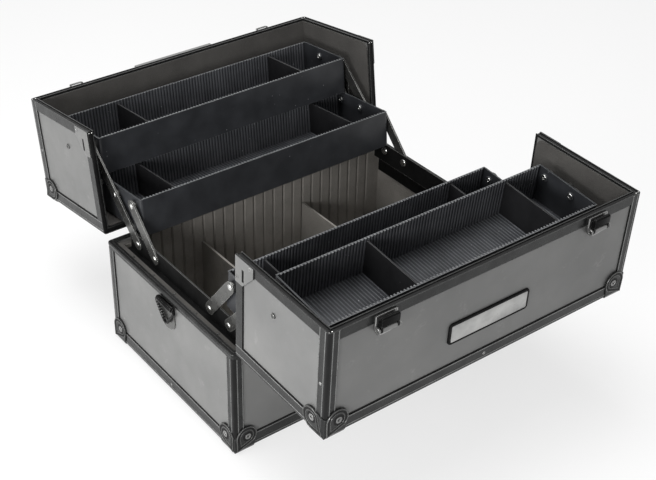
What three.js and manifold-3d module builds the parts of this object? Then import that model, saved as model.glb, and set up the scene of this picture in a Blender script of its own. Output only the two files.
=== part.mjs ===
// A carry case with two half lids that swing outward and four cantilever trays, standing open.
// Millimetres, +Z up. X runs along the case, -Y is the front, and the origin lies on the
// surface that the case stands on, under the middle of its base.

import * as THREE from 'three';
import { mergeVertices } from 'three/addons/utils/BufferGeometryUtils.js';
import Module from 'manifold-3d';

const wasm = await Module();
wasm.setup();

// Driving dimensions of the case
const caseLength = 470;
const caseWidth = 298;
const baseHeight = 157;
const lidHeight = 169;
const rimGap = 0.5;
const splitGap = 1;
const clearance = 0.3;
const overrun = 20;
const weld = 0.5;
const roundFacets = 8;
const edgeFacets = 1;

// Walls, edge extrusions and linings
const panelThick = 6;
const frameThick = 1.2;
const frameLeg = 14;
const footLeg = 20;
const rimLeg = 8;
const lidRimLeg = 12.5;
const lidTopLeg = 16;
const lidBackLeg = 18.5;
const frameLift = 0.3;
const edgeRound = 4;
const rimWidth = 8;
const lipDepth = 2;
const baseLiningThick = 8.2;
const baseLiningDrop = 4;
const baseFloorLiningThick = 4;
const lidLiningThick = 1.2;
const lidLiningDrop = 4;
const lidLiningRound = 12;
const groovePitch = 17;
const grooveDepth = 3;
const grooveHalfWidth = 2.2;

// Corner fittings
const capThick = 1.4;
const capFoot = 28;
const lobeRadius = 15.5;
const lobeAcross = 17;
const lobeUp = 21.5;
const lobeStart = -30;
const lobeEnd = 170;
const lobeFacets = 8;
const cornerPlateThick = 1.2;
const cornerPlateLength = 36;
const cornerPlateHeight = 34.5;
const cornerPlateEnd = 14;
const cornerSlotPlace = 21.5;
const cornerSlotRise = 15;
const cornerSlotLength = 16;
const cornerSlotWidth = 3;

// Lid hinges
const hingeOut = 6;
const hingeDrop = 0.5;
const hingeEndRoom = 40;
const hingeKnuckles = 6;
const knuckleRadius = 3.5;
const hingePinRadius = 1.5;
const leafThick = 1.8;
const leafHeight = 15;
const leafSetback = 1;

// Trays
const trayEndRoom = 29;
const lowerTrayRoom = 35;
const upperTrayRoom = 71;
const trayHeight = 53;
const trayWall = 2;
const trayRound = 3;
const pivotDrop = 12;
const lowerPivotInset = 15;
const lowerPivotOutset = 9;
const upperPivotInset = 13;
const slotPitch = 4.8;
const ribWidth = 1.8;
const ribDepth = 1.4;
const ribStep = 9;
const dividerThick = 2;
const dividerDrop = 3;

// Arms, links and their rivets
const pivotRise = 8.5;
const longPivotIn = 42;
const shortPivotShift = 2.8;
const armPitch = 74;
const armHalfWidth = 8;
const armThick = 2.5;
const pinRadius = 2.5;
const collarRadius = 5;
const headRadius = 5;
const headThick = 1.5;
const lidHeadRadius = 3.4;
const armToLink = 2.2;
const shortArmSlack = 1;
const linkThick = 2.5;
const linkHalfWidth = 7;
const linkEndRadius = 9.5;
const linkSlack = 1.7;
const linkStubHeadRadius = 7.2;
const linkStubIn = 5.5;
const linkStubDrop = 13;
const linkKneeAlong = 16;
const linkKneeSide = 22;
const linkEndFacets = 12;
const lidPivotIn = 106.8;
const lidPivotUp = 70.6;

// End brackets that carry the arms
const bracketThick = 2;
const bracketEndRoom = 19;
const bracketSink = 10;
const bracketRise = 20;
const bracketFoot = 27;
const bracketRound = 9;
const trayToBracket = 1.7;

// Base dividers
const baseDividerThick = 3;
const baseDividerDrop = 46;
const baseDividerPlaces = [-96, 77];

// Latches and catches
const latchEndRoom = 75;
const latchWidth = 30;
const latchSetback = 3;
const latchLength = 28;
const latchPlateThick = 1.5;
const latchPlateRound = 1;
const latchTipShare = 0.9;
const latchEarThick = 1.8;
const latchEarHeight = 7.5;
const latchEarRound = 3;
const latchPinRadius = 1.5;
const latchPinBack = 17;
const leverRound = 4;
const leverLip = 2.6;
const catchWidth = 24;
const catchLength = 15;
const catchHeight = 8;
const catchThick = 2;
const catchLip = 4;

// Carry handle
const handleHalfSpan = 70;
const handleSetback = 5;
const handlePlateWidth = 13;
const handlePlateThick = 1.5;
const handlePlateRound = 1;
const handleEarThick = 2.5;
const handleEarHeight = 11;
const handleEarRound = 4;
const handlePinRadius = 2;
const handlePinRise = 6.5;
const gripReach = 34;
const gripWidth = 13;
const gripThick = 8;
const gripBevel = 1.6;
const gripCorner = 12;

// Strap fittings on the ends of the base
const strapPlace = 0;
const strapPlateWidth = 34;
const strapPlateHeight = 44;
const strapPlateDrop = 8;
const strapPlateThick = 1.5;
const strapTipShare = 0.95;
const strapTipFacets = 3;
const barrelRadius = 4;
const ringRodRadius = 2;
const ringPlay = 0.5;
const ringHalfWidth = 24;
const ringDrop = 33;
const ringBendShare = 0.2;
const ringSegments = 24;
const ringFacets = 6;

// How far each side stands open, and where its dividers sit, counted in tray slots
const closedArmAngle = 127;
const trayTilt = 6;
const sides = [
  { name: 'rear', turn: 0, swing: 98, armAngle: 41.5, lowerSlots: [-31, 31], upperSlots: [-26, 28] },
  { name: 'front', turn: 180, swing: 92, armAngle: 48, lowerSlots: [-30, 32], upperSlots: [-30, 16] },
];

// Places that follow from the sizes above
const halfLength = caseLength / 2;
const halfWidth = caseWidth / 2;
const panelInset = frameThick + clearance;
const wallInset = panelInset + panelThick;
const lidBottom = baseHeight + rimGap;
const lidTop = lidBottom + lidHeight;
const splitHalf = splitGap / 2;
const hingeY = halfWidth + hingeOut;
const hingeZ = baseHeight - hingeDrop;
const hingeHalfLength = halfLength - hingeEndRoom;
const trayEnd = halfLength - trayEndRoom;
const lowerTrayWidth = halfWidth - lowerTrayRoom;
const upperTrayWidth = lidHeight - upperTrayRoom;
const trayPivotPitch = (lowerTrayWidth - lowerPivotInset - lowerPivotOutset) / 2;
const pivotHeight = baseHeight + pivotRise;
const longPivotOut = halfWidth - longPivotIn;
const shortPivotOut = longPivotOut - trayPivotPitch + shortPivotShift;
const linkStubOut = trayPivotPitch + lowerPivotOutset - linkStubIn;
const bracketHalfLength = halfWidth - bracketEndRoom;
const bracketBottom = baseHeight - bracketSink;
const bracketTop = baseHeight + bracketRise;
const flangeInner = trayEnd + trayToBracket;
const flangeOuter = flangeInner + bracketThick;
const armInner = flangeOuter + clearance;
const armOuter = armInner + armThick;
const linkInner = armOuter + armToLink;
const linkOuter = linkInner + linkThick;
const baseLiningInner = halfLength - wallInset - clearance - baseLiningThick;
const baseLiningInnerY = halfWidth - wallInset - clearance - baseLiningThick;
const baseFloor = wallInset + clearance + baseFloorLiningThick;
const lidLiningInner = halfLength - wallInset - clearance - lidLiningThick;
const lidPivot = new THREE.Vector2(halfWidth - lidPivotIn, lidBottom + lidPivotUp);
const latchPlace = halfLength - latchEndRoom;
const strapPlateTop = baseHeight - strapPlateDrop;
const strapPinZ = strapPlateTop - barrelRadius;
const strapFace = halfLength - panelInset + clearance;
const strapPinX = strapFace + barrelRadius;

// Finishes
function finish(color, roughness, metalness) {
  return new THREE.MeshStandardMaterial({ color, roughness, metalness });
}

const finishes = {
  panel: () => finish(0x75777a, 0.45, 0.55),
  extrusion: () => finish(0x2e3032, 0.4, 0.7),
  steel: () => finish(0x3a3c3f, 0.4, 0.8),
  foam: () => finish(0x504b46, 0.95, 0),
  tray: () => finish(0x2d3034, 0.55, 0),
  divider: () => finish(0x27292c, 0.55, 0),
  arm: () => finish(0x34373a, 0.45, 0.8),
  latch: () => finish(0x1d1e20, 0.35, 0.2),
  grip: () => finish(0x17181a, 0.6, 0),
};

// Turning geometries into solids and back
function toSolid(geometry) {
  geometry.deleteAttribute('normal');
  geometry.deleteAttribute('uv');
  const merged = mergeVertices(geometry);
  const mesh = new wasm.Mesh({
    numProp: 3,
    vertProperties: new Float32Array(merged.attributes.position.array),
    triVerts: new Uint32Array(merged.index.array),
  });
  return new wasm.Manifold(mesh);
}

function toGeometry(solid) {
  const mesh = solid.getMesh();
  const geometry = new THREE.BufferGeometry();
  geometry.setAttribute('position', new THREE.BufferAttribute(new Float32Array(mesh.vertProperties), 3));
  geometry.setIndex(new THREE.BufferAttribute(new Uint32Array(mesh.triVerts), 1));
  geometry.computeVertexNormals();
  return geometry;
}

function join(...solids) {
  return solids.reduce((whole, solid) => whole.add(solid));
}

function cut(solid, ...tools) {
  return tools.reduce((rest, tool) => rest.subtract(tool), solid);
}

function node(name, solid, material) {
  const mesh = new THREE.Mesh(toGeometry(solid), material);
  mesh.name = name;
  return mesh;
}

// Plain solids, each given by the two ends of its span along X, Y and Z
function ordered(first, second) {
  return [Math.min(first, second), Math.max(first, second)];
}

function block(xSpan, ySpan, zSpan) {
  const [x0, x1] = ordered(...xSpan);
  const [y0, y1] = ordered(...ySpan);
  const [z0, z1] = ordered(...zSpan);
  const geometry = new THREE.BoxGeometry(x1 - x0, y1 - y0, z1 - z0);
  geometry.translate((x0 + x1) / 2, (y0 + y1) / 2, (z0 + z1) / 2);
  return toSolid(geometry);
}

// A flat shape drawn in (Y, Z), (X, Z) or (X, Y) and given a thickness along the third axis
const acrossX = new THREE.Matrix4().makeBasis(
  new THREE.Vector3(0, 1, 0),
  new THREE.Vector3(0, 0, 1),
  new THREE.Vector3(1, 0, 0),
);
const acrossY = new THREE.Matrix4().makeBasis(
  new THREE.Vector3(1, 0, 0),
  new THREE.Vector3(0, 0, 1),
  new THREE.Vector3(0, -1, 0),
);

function extrude(shape, depth, curveSegments) {
  return new THREE.ExtrudeGeometry(shape, { depth, curveSegments, bevelEnabled: false });
}

function plateX(shape, xSpan, curveSegments = 2) {
  const [x0, x1] = ordered(...xSpan);
  const geometry = extrude(shape, x1 - x0, curveSegments);
  geometry.applyMatrix4(acrossX);
  geometry.translate(x0, 0, 0);
  return toSolid(geometry);
}

function plateY(shape, ySpan, curveSegments = 2) {
  const [y0, y1] = ordered(...ySpan);
  const geometry = extrude(shape, y1 - y0, curveSegments);
  geometry.applyMatrix4(acrossY);
  geometry.translate(0, y1, 0);
  return toSolid(geometry);
}

function plateZ(shape, zSpan, curveSegments = 2) {
  const [z0, z1] = ordered(...zSpan);
  const geometry = extrude(shape, z1 - z0, curveSegments);
  geometry.translate(0, 0, z0);
  return toSolid(geometry);
}

function rodX(radius, xSpan, y, z, facets = roundFacets) {
  const [x0, x1] = ordered(...xSpan);
  const geometry = new THREE.CylinderGeometry(radius, radius, x1 - x0, facets);
  geometry.rotateZ(Math.PI / 2);
  geometry.translate((x0 + x1) / 2, y, z);
  return toSolid(geometry);
}

function rodY(radius, ySpan, x, z, facets = roundFacets) {
  const [y0, y1] = ordered(...ySpan);
  const geometry = new THREE.CylinderGeometry(radius, radius, y1 - y0, facets);
  geometry.translate(x, (y0 + y1) / 2, z);
  return toSolid(geometry);
}

// A round piece along X in steps, each a radius and the two distances from the middle of the
// case that it runs between, on the end of the case that the sign gives
function steppedRod(end, y, z, steps) {
  const points = [new THREE.Vector2(0, steps[0][1])];
  for (const [radius, from, to] of steps) {
    points.push(new THREE.Vector2(radius, from));
    points.push(new THREE.Vector2(radius, to));
  }
  points.push(new THREE.Vector2(0, steps[steps.length - 1][2]));
  const geometry = new THREE.LatheGeometry(points, roundFacets);
  geometry.rotateZ(-end * Math.PI / 2);
  geometry.translate(0, y, z);
  return toSolid(geometry);
}

// A rectangle with its own radius at each corner, counted anticlockwise from the low corner
function outline(u0, u1, v0, v1, [r0, r1, r2, r3]) {
  const shape = new THREE.Shape();
  const quarter = Math.PI / 2;
  shape.moveTo(u0 + r0, v0);
  shape.lineTo(u1 - r1, v0);
  if (r1 > 0) shape.absarc(u1 - r1, v0 + r1, r1, -quarter, 0);
  shape.lineTo(u1, v1 - r2);
  if (r2 > 0) shape.absarc(u1 - r2, v1 - r2, r2, 0, quarter);
  shape.lineTo(u0 + r3, v1);
  if (r3 > 0) shape.absarc(u0 + r3, v1 - r3, r3, quarter, 2 * quarter);
  shape.lineTo(u0, v0 + r0);
  if (r0 > 0) shape.absarc(u0 + r0, v0 + r0, r0, 2 * quarter, 3 * quarter);
  return shape;
}

function rounded(u0, u1, v0, v1, radius) {
  return outline(u0, u1, v0, v1, [radius, radius, radius, radius]);
}

// A flat bar with round ends from one pivot to another, drawn in (Y, Z)
function bar(from, to, halfWidth, xSpan) {
  const along = to.clone().sub(from);
  const angle = along.angle();
  const quarter = Math.PI / 2;
  const shape = new THREE.Shape();
  shape.absarc(from.x, from.y, halfWidth, angle + quarter, angle + 3 * quarter);
  shape.absarc(to.x, to.y, halfWidth, angle - quarter, angle + quarter);
  return plateX(shape, xSpan, 3);
}

// The outer block of the base or of a lid, drawn in by an inset, with its outer edges rounded
function baseBlock(inset, zSpan) {
  const x = halfLength - inset;
  const y = halfWidth - inset;
  const round = Math.max(edgeRound - inset, 0);
  const foot = [round, round, 0, 0];
  const plan = plateZ(rounded(-x, x, -y, y, round), zSpan, edgeFacets);
  const side = plateX(outline(-y, y, ...zSpan, foot), [-caseLength, caseLength], edgeFacets);
  const front = plateY(outline(-x, x, ...zSpan, foot), [-caseWidth, caseWidth], edgeFacets);
  return plan.intersect(side).intersect(front);
}

function lidBlock(inset, rimInset) {
  const x = halfLength - inset;
  const y0 = splitHalf + rimInset;
  const y1 = halfWidth - inset;
  const z0 = lidBottom + rimInset;
  const z1 = lidTop - inset;
  const round = Math.max(edgeRound - inset, 0);
  const plan = plateZ(outline(-x, x, y0, y1, [0, 0, round, round]), [z0, z1], edgeFacets);
  const side = plateX(outline(y0, y1, z0, z1, [0, 0, round, 0]), [-caseLength, caseLength], edgeFacets);
  const front = plateY(outline(-x, x, z0, z1, [0, 0, round, round]), [-caseWidth, caseWidth], edgeFacets);
  return plan.intersect(side).intersect(front);
}

// A corner cap: a lobed leaf on each of the three faces that meet at a corner of a block. Each
// leaf is drawn from that corner, and the shell gives the cap its thickness and its rounding.
function capLeaf(u, v, inwardU, inwardV) {
  const place = (across, up) => new THREE.Vector2(u + inwardU * across, v + inwardV * up);
  const points = [place(-capThick, -capThick), place(capFoot, -capThick)];
  for (let i = 0; i <= lobeFacets; i++) {
    const rim = polar(lobeRadius, lobeStart + i * (lobeEnd - lobeStart) / lobeFacets);
    points.push(place(lobeAcross + rim.x, lobeUp + rim.y));
  }
  points.push(place(-capThick, lobeUp));
  return new THREE.Shape(points);
}

function cornerCap(x, y, z, inwardY, inwardZ, shell) {
  const inwardX = -Math.sign(x);
  const span = (place, inward) => [place - inward * (capThick + weld), place + inward * edgeRound];
  const leaves = join(
    plateX(capLeaf(y, z, inwardY, inwardZ), span(x, inwardX)),
    plateY(capLeaf(x, z, inwardX, inwardZ), span(y, inwardY)),
    plateZ(capLeaf(x, y, inwardX, inwardY), span(z, inwardZ)),
  );
  return leaves.intersect(shell);
}

// Base of the case
function basePanels() {
  const top = baseHeight - panelInset;
  const walls = baseBlock(panelInset, [panelInset, top]);
  const fieldX = halfLength - footLeg - clearance;
  const fieldY = halfWidth - footLeg - clearance;
  const field = block([-fieldX, fieldX], [-fieldY, fieldY], [0, wallInset]);
  const innerX = halfLength - wallInset;
  const innerY = halfWidth - wallInset;
  const hollow = block([-innerX, innerX], [-innerY, innerY], [wallInset, top + overrun]);
  return cut(join(walls, field), hollow);
}

function baseFrame() {
  const top = baseHeight - rimLeg - clearance;
  const shell = cut(
    baseBlock(0, [frameLift, top]),
    baseBlock(frameThick, [frameLift + frameThick, top + overrun]),
  );
  const openX = halfLength - frameLeg;
  const openY = halfWidth - frameLeg;
  const fieldX = halfLength - footLeg;
  const fieldY = halfWidth - footLeg;
  const sideWindow = block([-openX, openX], [-caseWidth, caseWidth], [footLeg, top + overrun]);
  const endWindow = block([-caseLength, caseLength], [-openY, openY], [footLeg, top + overrun]);
  const bottomWindow = block([-fieldX, fieldX], [-fieldY, fieldY], [-overrun, footLeg]);
  const capShell = cut(
    baseBlock(-capThick, [frameLift - capThick, top]),
    baseBlock(weld, [frameLift + weld, top + overrun]),
  );
  let frame = cut(shell, sideWindow, endWindow);
  for (const x of [-halfLength, halfLength]) {
    for (const y of [-halfWidth, halfWidth]) {
      frame = frame.add(cornerCap(x, y, frameLift, -Math.sign(y), 1, capShell));
    }
  }
  const below = block([-caseLength, caseLength], [-caseWidth, caseWidth], [-overrun, 0]);
  return cut(frame, below, bottomWindow);
}

function baseRim() {
  const bottom = baseHeight - rimLeg;
  const outer = plateZ(
    rounded(-halfLength, halfLength, -halfWidth, halfWidth, edgeRound),
    [bottom, baseHeight],
    edgeFacets,
  );
  const legX = halfLength - frameThick;
  const legY = halfWidth - frameThick;
  const underside = plateZ(
    rounded(-legX, legX, -legY, legY, edgeRound - frameThick),
    [bottom - overrun, baseHeight - frameThick],
    edgeFacets,
  );
  const mouthX = halfLength - rimWidth;
  const mouthY = halfWidth - rimWidth;
  const mouth = block([-mouthX, mouthX], [-mouthY, mouthY], [bottom - overrun, baseHeight + overrun]);
  return cut(outer, underside, mouth);
}

// One long wall of the ribbed lining in plan: grooves cut outward from the straight line
function groovedWall(start, direction, outward, length) {
  const count = Math.floor(length / groovePitch) - 1;
  const points = [start.clone()];
  for (let i = 0; i < count; i++) {
    const middle = length / 2 + (i - (count - 1) / 2) * groovePitch;
    const foot = start.clone().addScaledVector(direction, middle);
    points.push(foot.clone().addScaledVector(direction, -grooveHalfWidth));
    points.push(foot.clone().addScaledVector(outward, grooveDepth));
    points.push(foot.clone().addScaledVector(direction, grooveHalfWidth));
  }
  return points;
}

function baseLining() {
  const x = baseLiningInner;
  const y = baseLiningInnerY;
  const top = baseHeight - baseLiningDrop;
  const bottom = wallInset + clearance;
  const outerX = x + baseLiningThick;
  const outerY = y + baseLiningThick;
  const right = new THREE.Vector2(1, 0);
  const back = new THREE.Vector2(0, 1);
  const left = right.clone().negate();
  const forward = back.clone().negate();
  const plan = new THREE.Shape([
    ...groovedWall(new THREE.Vector2(-x, -y), right, forward, 2 * x),
    new THREE.Vector2(x, -y),
    ...groovedWall(new THREE.Vector2(x, y), left, back, 2 * x),
    new THREE.Vector2(-x, y),
  ]);
  const body = block([-outerX, outerX], [-outerY, outerY], [bottom, top]);
  return cut(body, plateZ(plan, [baseFloor, top + overrun]));
}

function baseDivider(x) {
  const y = baseLiningInnerY - clearance;
  const thick = baseDividerThick / 2;
  const sheet = rounded(-y, y, baseFloor + clearance, baseHeight - baseDividerDrop, 0);
  return plateX(sheet, [x - thick, x + thick]);
}

function endBracket(end) {
  const inner = end * flangeInner;
  const face = end * flangeOuter;
  const footFace = end * (baseLiningInner - clearance);
  const footBack = end * (baseLiningInner - clearance - bracketThick);
  const length = [-bracketHalfLength, bracketHalfLength];
  const round = [0, 0, bracketRound, bracketRound];
  const webTop = bracketBottom + bracketThick;
  const flange = plateX(outline(...length, bracketBottom, bracketTop, round), [inner, face]);
  const web = block([inner, footFace], length, [bracketBottom, webTop]);
  const foot = block([footBack, footFace], length, [bracketBottom - bracketFoot, webTop]);
  let bracket = join(flange, web, foot);
  for (const y of [longPivotOut, shortPivotOut, -shortPivotOut, -longPivotOut]) {
    const holeSpan = [inner - end * overrun, face + end * clearance];
    bracket = bracket.subtract(rodX(pinRadius + clearance, holeSpan, y, pivotHeight));
  }
  return bracket;
}

// Hinge leaves: a long strip, and every other knuckle around the hinge line
function hingeKnuckle(index, radius) {
  const pitch = 2 * hingeHalfLength / hingeKnuckles;
  const start = index * pitch - hingeHalfLength;
  return rodX(radius, [start + clearance / 2, start + pitch - clearance / 2], hingeY, hingeZ);
}

function knuckleWeb(index, zSpan) {
  const pitch = 2 * hingeHalfLength / hingeKnuckles;
  const start = index * pitch - hingeHalfLength;
  const xSpan = [start + clearance / 2, start + pitch - clearance / 2];
  return block(xSpan, [halfWidth + clearance, hingeY], zSpan);
}

function hingeBaseLeaf() {
  const top = baseHeight - leafSetback;
  const ySpan = [halfWidth + clearance, halfWidth + clearance + leafThick];
  let leaf = block([-hingeHalfLength, hingeHalfLength], ySpan, [top - leafHeight, top - weld]);
  for (let i = 0; i < hingeKnuckles; i += 2) {
    leaf = join(leaf, hingeKnuckle(i, knuckleRadius));
    leaf = join(leaf, knuckleWeb(i, [hingeZ - knuckleRadius + weld, top - weld]));
  }
  const pin = rodX(hingePinRadius, [-hingeHalfLength, hingeHalfLength], hingeY, hingeZ);
  return join(leaf, pin);
}

function hingeLidLeaf() {
  const bottom = lidBottom + leafSetback;
  const ySpan = [halfWidth + clearance, halfWidth + clearance + leafThick];
  let leaf = block([-hingeHalfLength, hingeHalfLength], ySpan, [bottom, bottom + leafHeight]);
  for (let i = 1; i < hingeKnuckles; i += 2) {
    leaf = join(leaf, hingeKnuckle(i, knuckleRadius));
    leaf = join(leaf, knuckleWeb(i, [hingeZ + hingePinRadius, bottom + weld]));
  }
  const bore = rodX(hingePinRadius + clearance, [-caseLength, caseLength], hingeY, hingeZ);
  return leaf.subtract(bore);
}

// Lid, modelled closed
function lidPivotHole(fromX) {
  const left = rodX(pinRadius + clearance, [-fromX, -caseLength], lidPivot.x, lidPivot.y);
  const right = rodX(pinRadius + clearance, [fromX, caseLength], lidPivot.x, lidPivot.y);
  return join(left, right);
}

function lidPanels() {
  const edge = lipDepth + panelInset;
  const hollowX = halfLength - wallInset;
  const hollow = block(
    [-hollowX, hollowX],
    [-overrun, halfWidth - wallInset],
    [lidBottom - overrun, lidTop - wallInset],
  );
  return cut(lidBlock(panelInset, edge), hollow, lidPivotHole(overrun));
}

function lidLining() {
  const x = halfLength - wallInset - clearance;
  const y = halfWidth - wallInset - clearance;
  const z = lidTop - wallInset - clearance;
  const y0 = splitHalf + lidLiningDrop;
  const z0 = lidBottom + lidLiningDrop;
  const body = plateX(outline(y0, y, z0, z, [lidLiningRound, 0, 0, 0]), [-x, x]);
  const hollow = block(
    [lidLiningThick - x, x - lidLiningThick],
    [-overrun, y - lidLiningThick],
    [lidBottom - overrun, z - lidLiningThick],
  );
  return cut(body, hollow, lidPivotHole(overrun));
}

// The rim that caps an open edge: a web sunk below its two lips, which show as a double line
function lidRims() {
  const block0 = lidBlock(0, 0);
  const mouthX = halfLength - rimWidth;
  const mouthY = halfWidth - rimWidth;
  const mouthZ = lidTop - rimWidth;
  const depth = lipDepth + frameThick;
  const bottomBand = block([-caseLength, caseLength], [0, caseWidth], [lidBottom, lidBottom + depth]);
  const splitBand = block([-caseLength, caseLength], [splitHalf, splitHalf + depth], [lidBottom, lidTop]);
  const aroundBottom = [lidBottom - overrun, lidBottom + overrun];
  const bottomMouth = block([-mouthX, mouthX], [-overrun, mouthY], aroundBottom);
  const splitMouth = block([-mouthX, mouthX], [-overrun, overrun], [lidBottom - overrun, mouthZ]);
  const bands = join(
    bottomBand.intersect(block0).subtract(bottomMouth),
    splitBand.intersect(block0).subtract(splitMouth),
  );
  const grooveX = halfLength - frameThick;
  const grooveInX = mouthX + frameThick;
  const grooveY = halfWidth - frameThick;
  const grooveInY = mouthY + frameThick;
  const grooveZ = lidTop - frameThick;
  const grooveInZ = mouthZ + frameThick;
  const zSpan = [lidBottom - overrun, lidBottom + lipDepth];
  const ySpan = [-overrun, splitHalf + lipDepth];
  const grooves = [
    block([-grooveX, grooveX], [grooveInY, grooveY], zSpan),
    block([-grooveX, grooveX], ySpan, [grooveInZ, grooveZ]),
  ];
  for (const end of [-1, 1]) {
    grooves.push(block([end * grooveInX, end * grooveX], [-overrun, grooveY], zSpan));
    grooves.push(block([end * grooveInX, end * grooveX], ySpan, [lidBottom - overrun, grooveZ]));
  }
  return cut(bands, ...grooves);
}

// The flat plate with a slot at each corner where a lid's split edge meets its rim
function lidCornerPlates() {
  const place = (along, up) => new THREE.Vector2(splitHalf + clearance + along, lidBottom + clearance + up);
  const plate = new THREE.Shape([
    place(0, 0),
    place(cornerPlateLength, 0),
    place(cornerPlateLength, cornerPlateEnd),
    place(cornerPlateEnd, cornerPlateHeight),
    place(0, cornerPlateHeight),
  ]);
  const halfSlot = cornerSlotLength / 2;
  const low = place(cornerSlotPlace - halfSlot, cornerSlotRise - cornerSlotWidth / 2);
  const high = place(cornerSlotPlace + halfSlot, cornerSlotRise + cornerSlotWidth / 2);
  plate.holes.push(rounded(low.x, high.x, low.y, high.y, 0));
  const thick = halfLength + cornerPlateThick;
  const left = plateX(plate, [-thick, -halfLength + weld]);
  const right = plateX(plate, [halfLength - weld, thick]);
  return join(left, right);
}

function lidFrame() {
  const shell = cut(lidBlock(0, 0), lidBlock(frameThick, -overrun));
  const capShell = cut(lidBlock(-capThick, 0), lidBlock(weld, -overrun));
  const openX = halfLength - frameLeg;
  const ySpan = [splitHalf + lidRimLeg, halfWidth - lidBackLeg];
  const zSpan = [lidBottom + lidRimLeg, lidTop - lidTopLeg];
  const sideWindow = block([-openX, openX], [halfWidth - lidBackLeg, halfWidth + overrun], zSpan);
  const topWindow = block([-openX, openX], ySpan, [lidTop - lidTopLeg, lidTop + overrun]);
  const endWindow = block([-caseLength, caseLength], ySpan, zSpan);
  let frame = join(cut(shell, sideWindow, topWindow, endWindow), lidRims(), lidCornerPlates());
  for (const x of [-halfLength, halfLength]) {
    frame = frame.add(cornerCap(x, halfWidth, lidTop, -1, -1, capShell));
  }
  const inside = lidBlock(panelInset, lipDepth + panelInset);
  return frame.subtract(inside);
}

// Trays, each drawn about its pivot on the long arm
function ribPlaces(slots) {
  const places = new Set();
  const half = trayEnd - trayWall - slotPitch;
  const last = Math.floor(half / slotPitch);
  for (let i = -last; i < last; i += ribStep) {
    places.add(i + 1 / 2);
  }
  for (const slot of slots) {
    places.add(slot - 1 / 2);
    places.add(slot + 1 / 2);
  }
  return [...places].sort((a, b) => a - b).map((place) => place * slotPitch);
}

function trayHollowPlan(y0, y1, slots) {
  const x = trayEnd - trayWall;
  const half = ribWidth / 2;
  const ribs = ribPlaces(slots);
  const points = [new THREE.Vector2(-x, y0)];
  for (const rib of ribs) {
    points.push(new THREE.Vector2(rib - half, y0));
    points.push(new THREE.Vector2(rib, y0 + ribDepth));
    points.push(new THREE.Vector2(rib + half, y0));
  }
  points.push(new THREE.Vector2(x, y0));
  points.push(new THREE.Vector2(x, y1));
  for (const rib of ribs.reverse()) {
    points.push(new THREE.Vector2(rib + half, y1));
    points.push(new THREE.Vector2(rib, y1 - ribDepth));
    points.push(new THREE.Vector2(rib - half, y1));
  }
  points.push(new THREE.Vector2(-x, y1));
  return new THREE.Shape(points);
}

function tray(width, pivotInset, slots, holes) {
  const ySpan = [-pivotInset, width - pivotInset];
  const top = pivotDrop;
  const bottom = pivotDrop - trayHeight;
  const outer = plateZ(rounded(-trayEnd, trayEnd, ...ySpan, trayRound), [bottom, top], 1);
  const hollow = plateZ(
    trayHollowPlan(ySpan[0] + trayWall, ySpan[1] - trayWall, slots),
    [bottom + trayWall, top + overrun],
  );
  const bores = holes.map(([y, radius]) => rodX(radius, [-caseLength, caseLength], y, 0));
  return cut(outer, hollow, ...bores);
}

// The stub on each end wall of a lower tray that the lid link hangs on
function trayStub(end) {
  const neck = linkOuter + clearance;
  return steppedRod(end, linkStubOut, -linkStubDrop, [
    [pinRadius, trayEnd - trayWall / 2, neck],
    [linkStubHeadRadius, neck, neck + headThick],
  ]);
}

function lowerTray(slots) {
  const inset = lowerPivotInset + trayPivotPitch;
  const pinHole = pinRadius + clearance;
  const holes = [[-trayPivotPitch, pinHole + shortArmSlack], [0, pinHole], [trayPivotPitch, pinHole]];
  return join(tray(lowerTrayWidth, inset, slots, holes), trayStub(-1), trayStub(1));
}

function upperTray(slots) {
  const pinHole = pinRadius + clearance;
  return tray(upperTrayWidth, upperPivotInset, slots, [[0, pinHole], [trayPivotPitch, pinHole]]);
}

function trayDivider(width, pivotInset, slot) {
  const gap = trayWall + clearance;
  const bottom = pivotDrop - trayHeight + gap;
  const thick = dividerThick / 2;
  const top = pivotDrop - dividerDrop;
  const sheet = rounded(gap - pivotInset, width - pivotInset - gap, bottom, top, 0);
  const x = slot * slotPitch;
  return plateX(sheet, [x - thick, x + thick]);
}

// Rivets: each is one with the arm or link that it hangs from
function trayRivet(end, y) {
  const headFace = trayEnd - trayWall - clearance;
  return steppedRod(end, y, 0, [
    [headRadius, headFace - headThick, headFace],
    [pinRadius, headFace, trayEnd + clearance],
    [collarRadius, trayEnd + clearance, armInner + weld],
  ]);
}

function bracketRivet(end) {
  const headFace = flangeInner - clearance;
  return steppedRod(end, 0, 0, [
    [headRadius, headFace - headThick, headFace],
    [pinRadius, headFace, armInner + weld],
  ]);
}

function armBar(end, length) {
  const span = [end * armInner, end * armOuter];
  return bar(new THREE.Vector2(0, 0), new THREE.Vector2(length, 0), armHalfWidth, span);
}

function longArm(end) {
  const rivets = join(bracketRivet(end), trayRivet(end, armPitch), trayRivet(end, 2 * armPitch));
  return join(armBar(end, 2 * armPitch), rivets);
}

function shortArm(end, length) {
  return join(armBar(end, length), bracketRivet(end), trayRivet(end, length));
}

function upperShortArm(end) {
  return join(armBar(end, armPitch), trayRivet(end, 0), trayRivet(end, armPitch));
}

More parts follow.
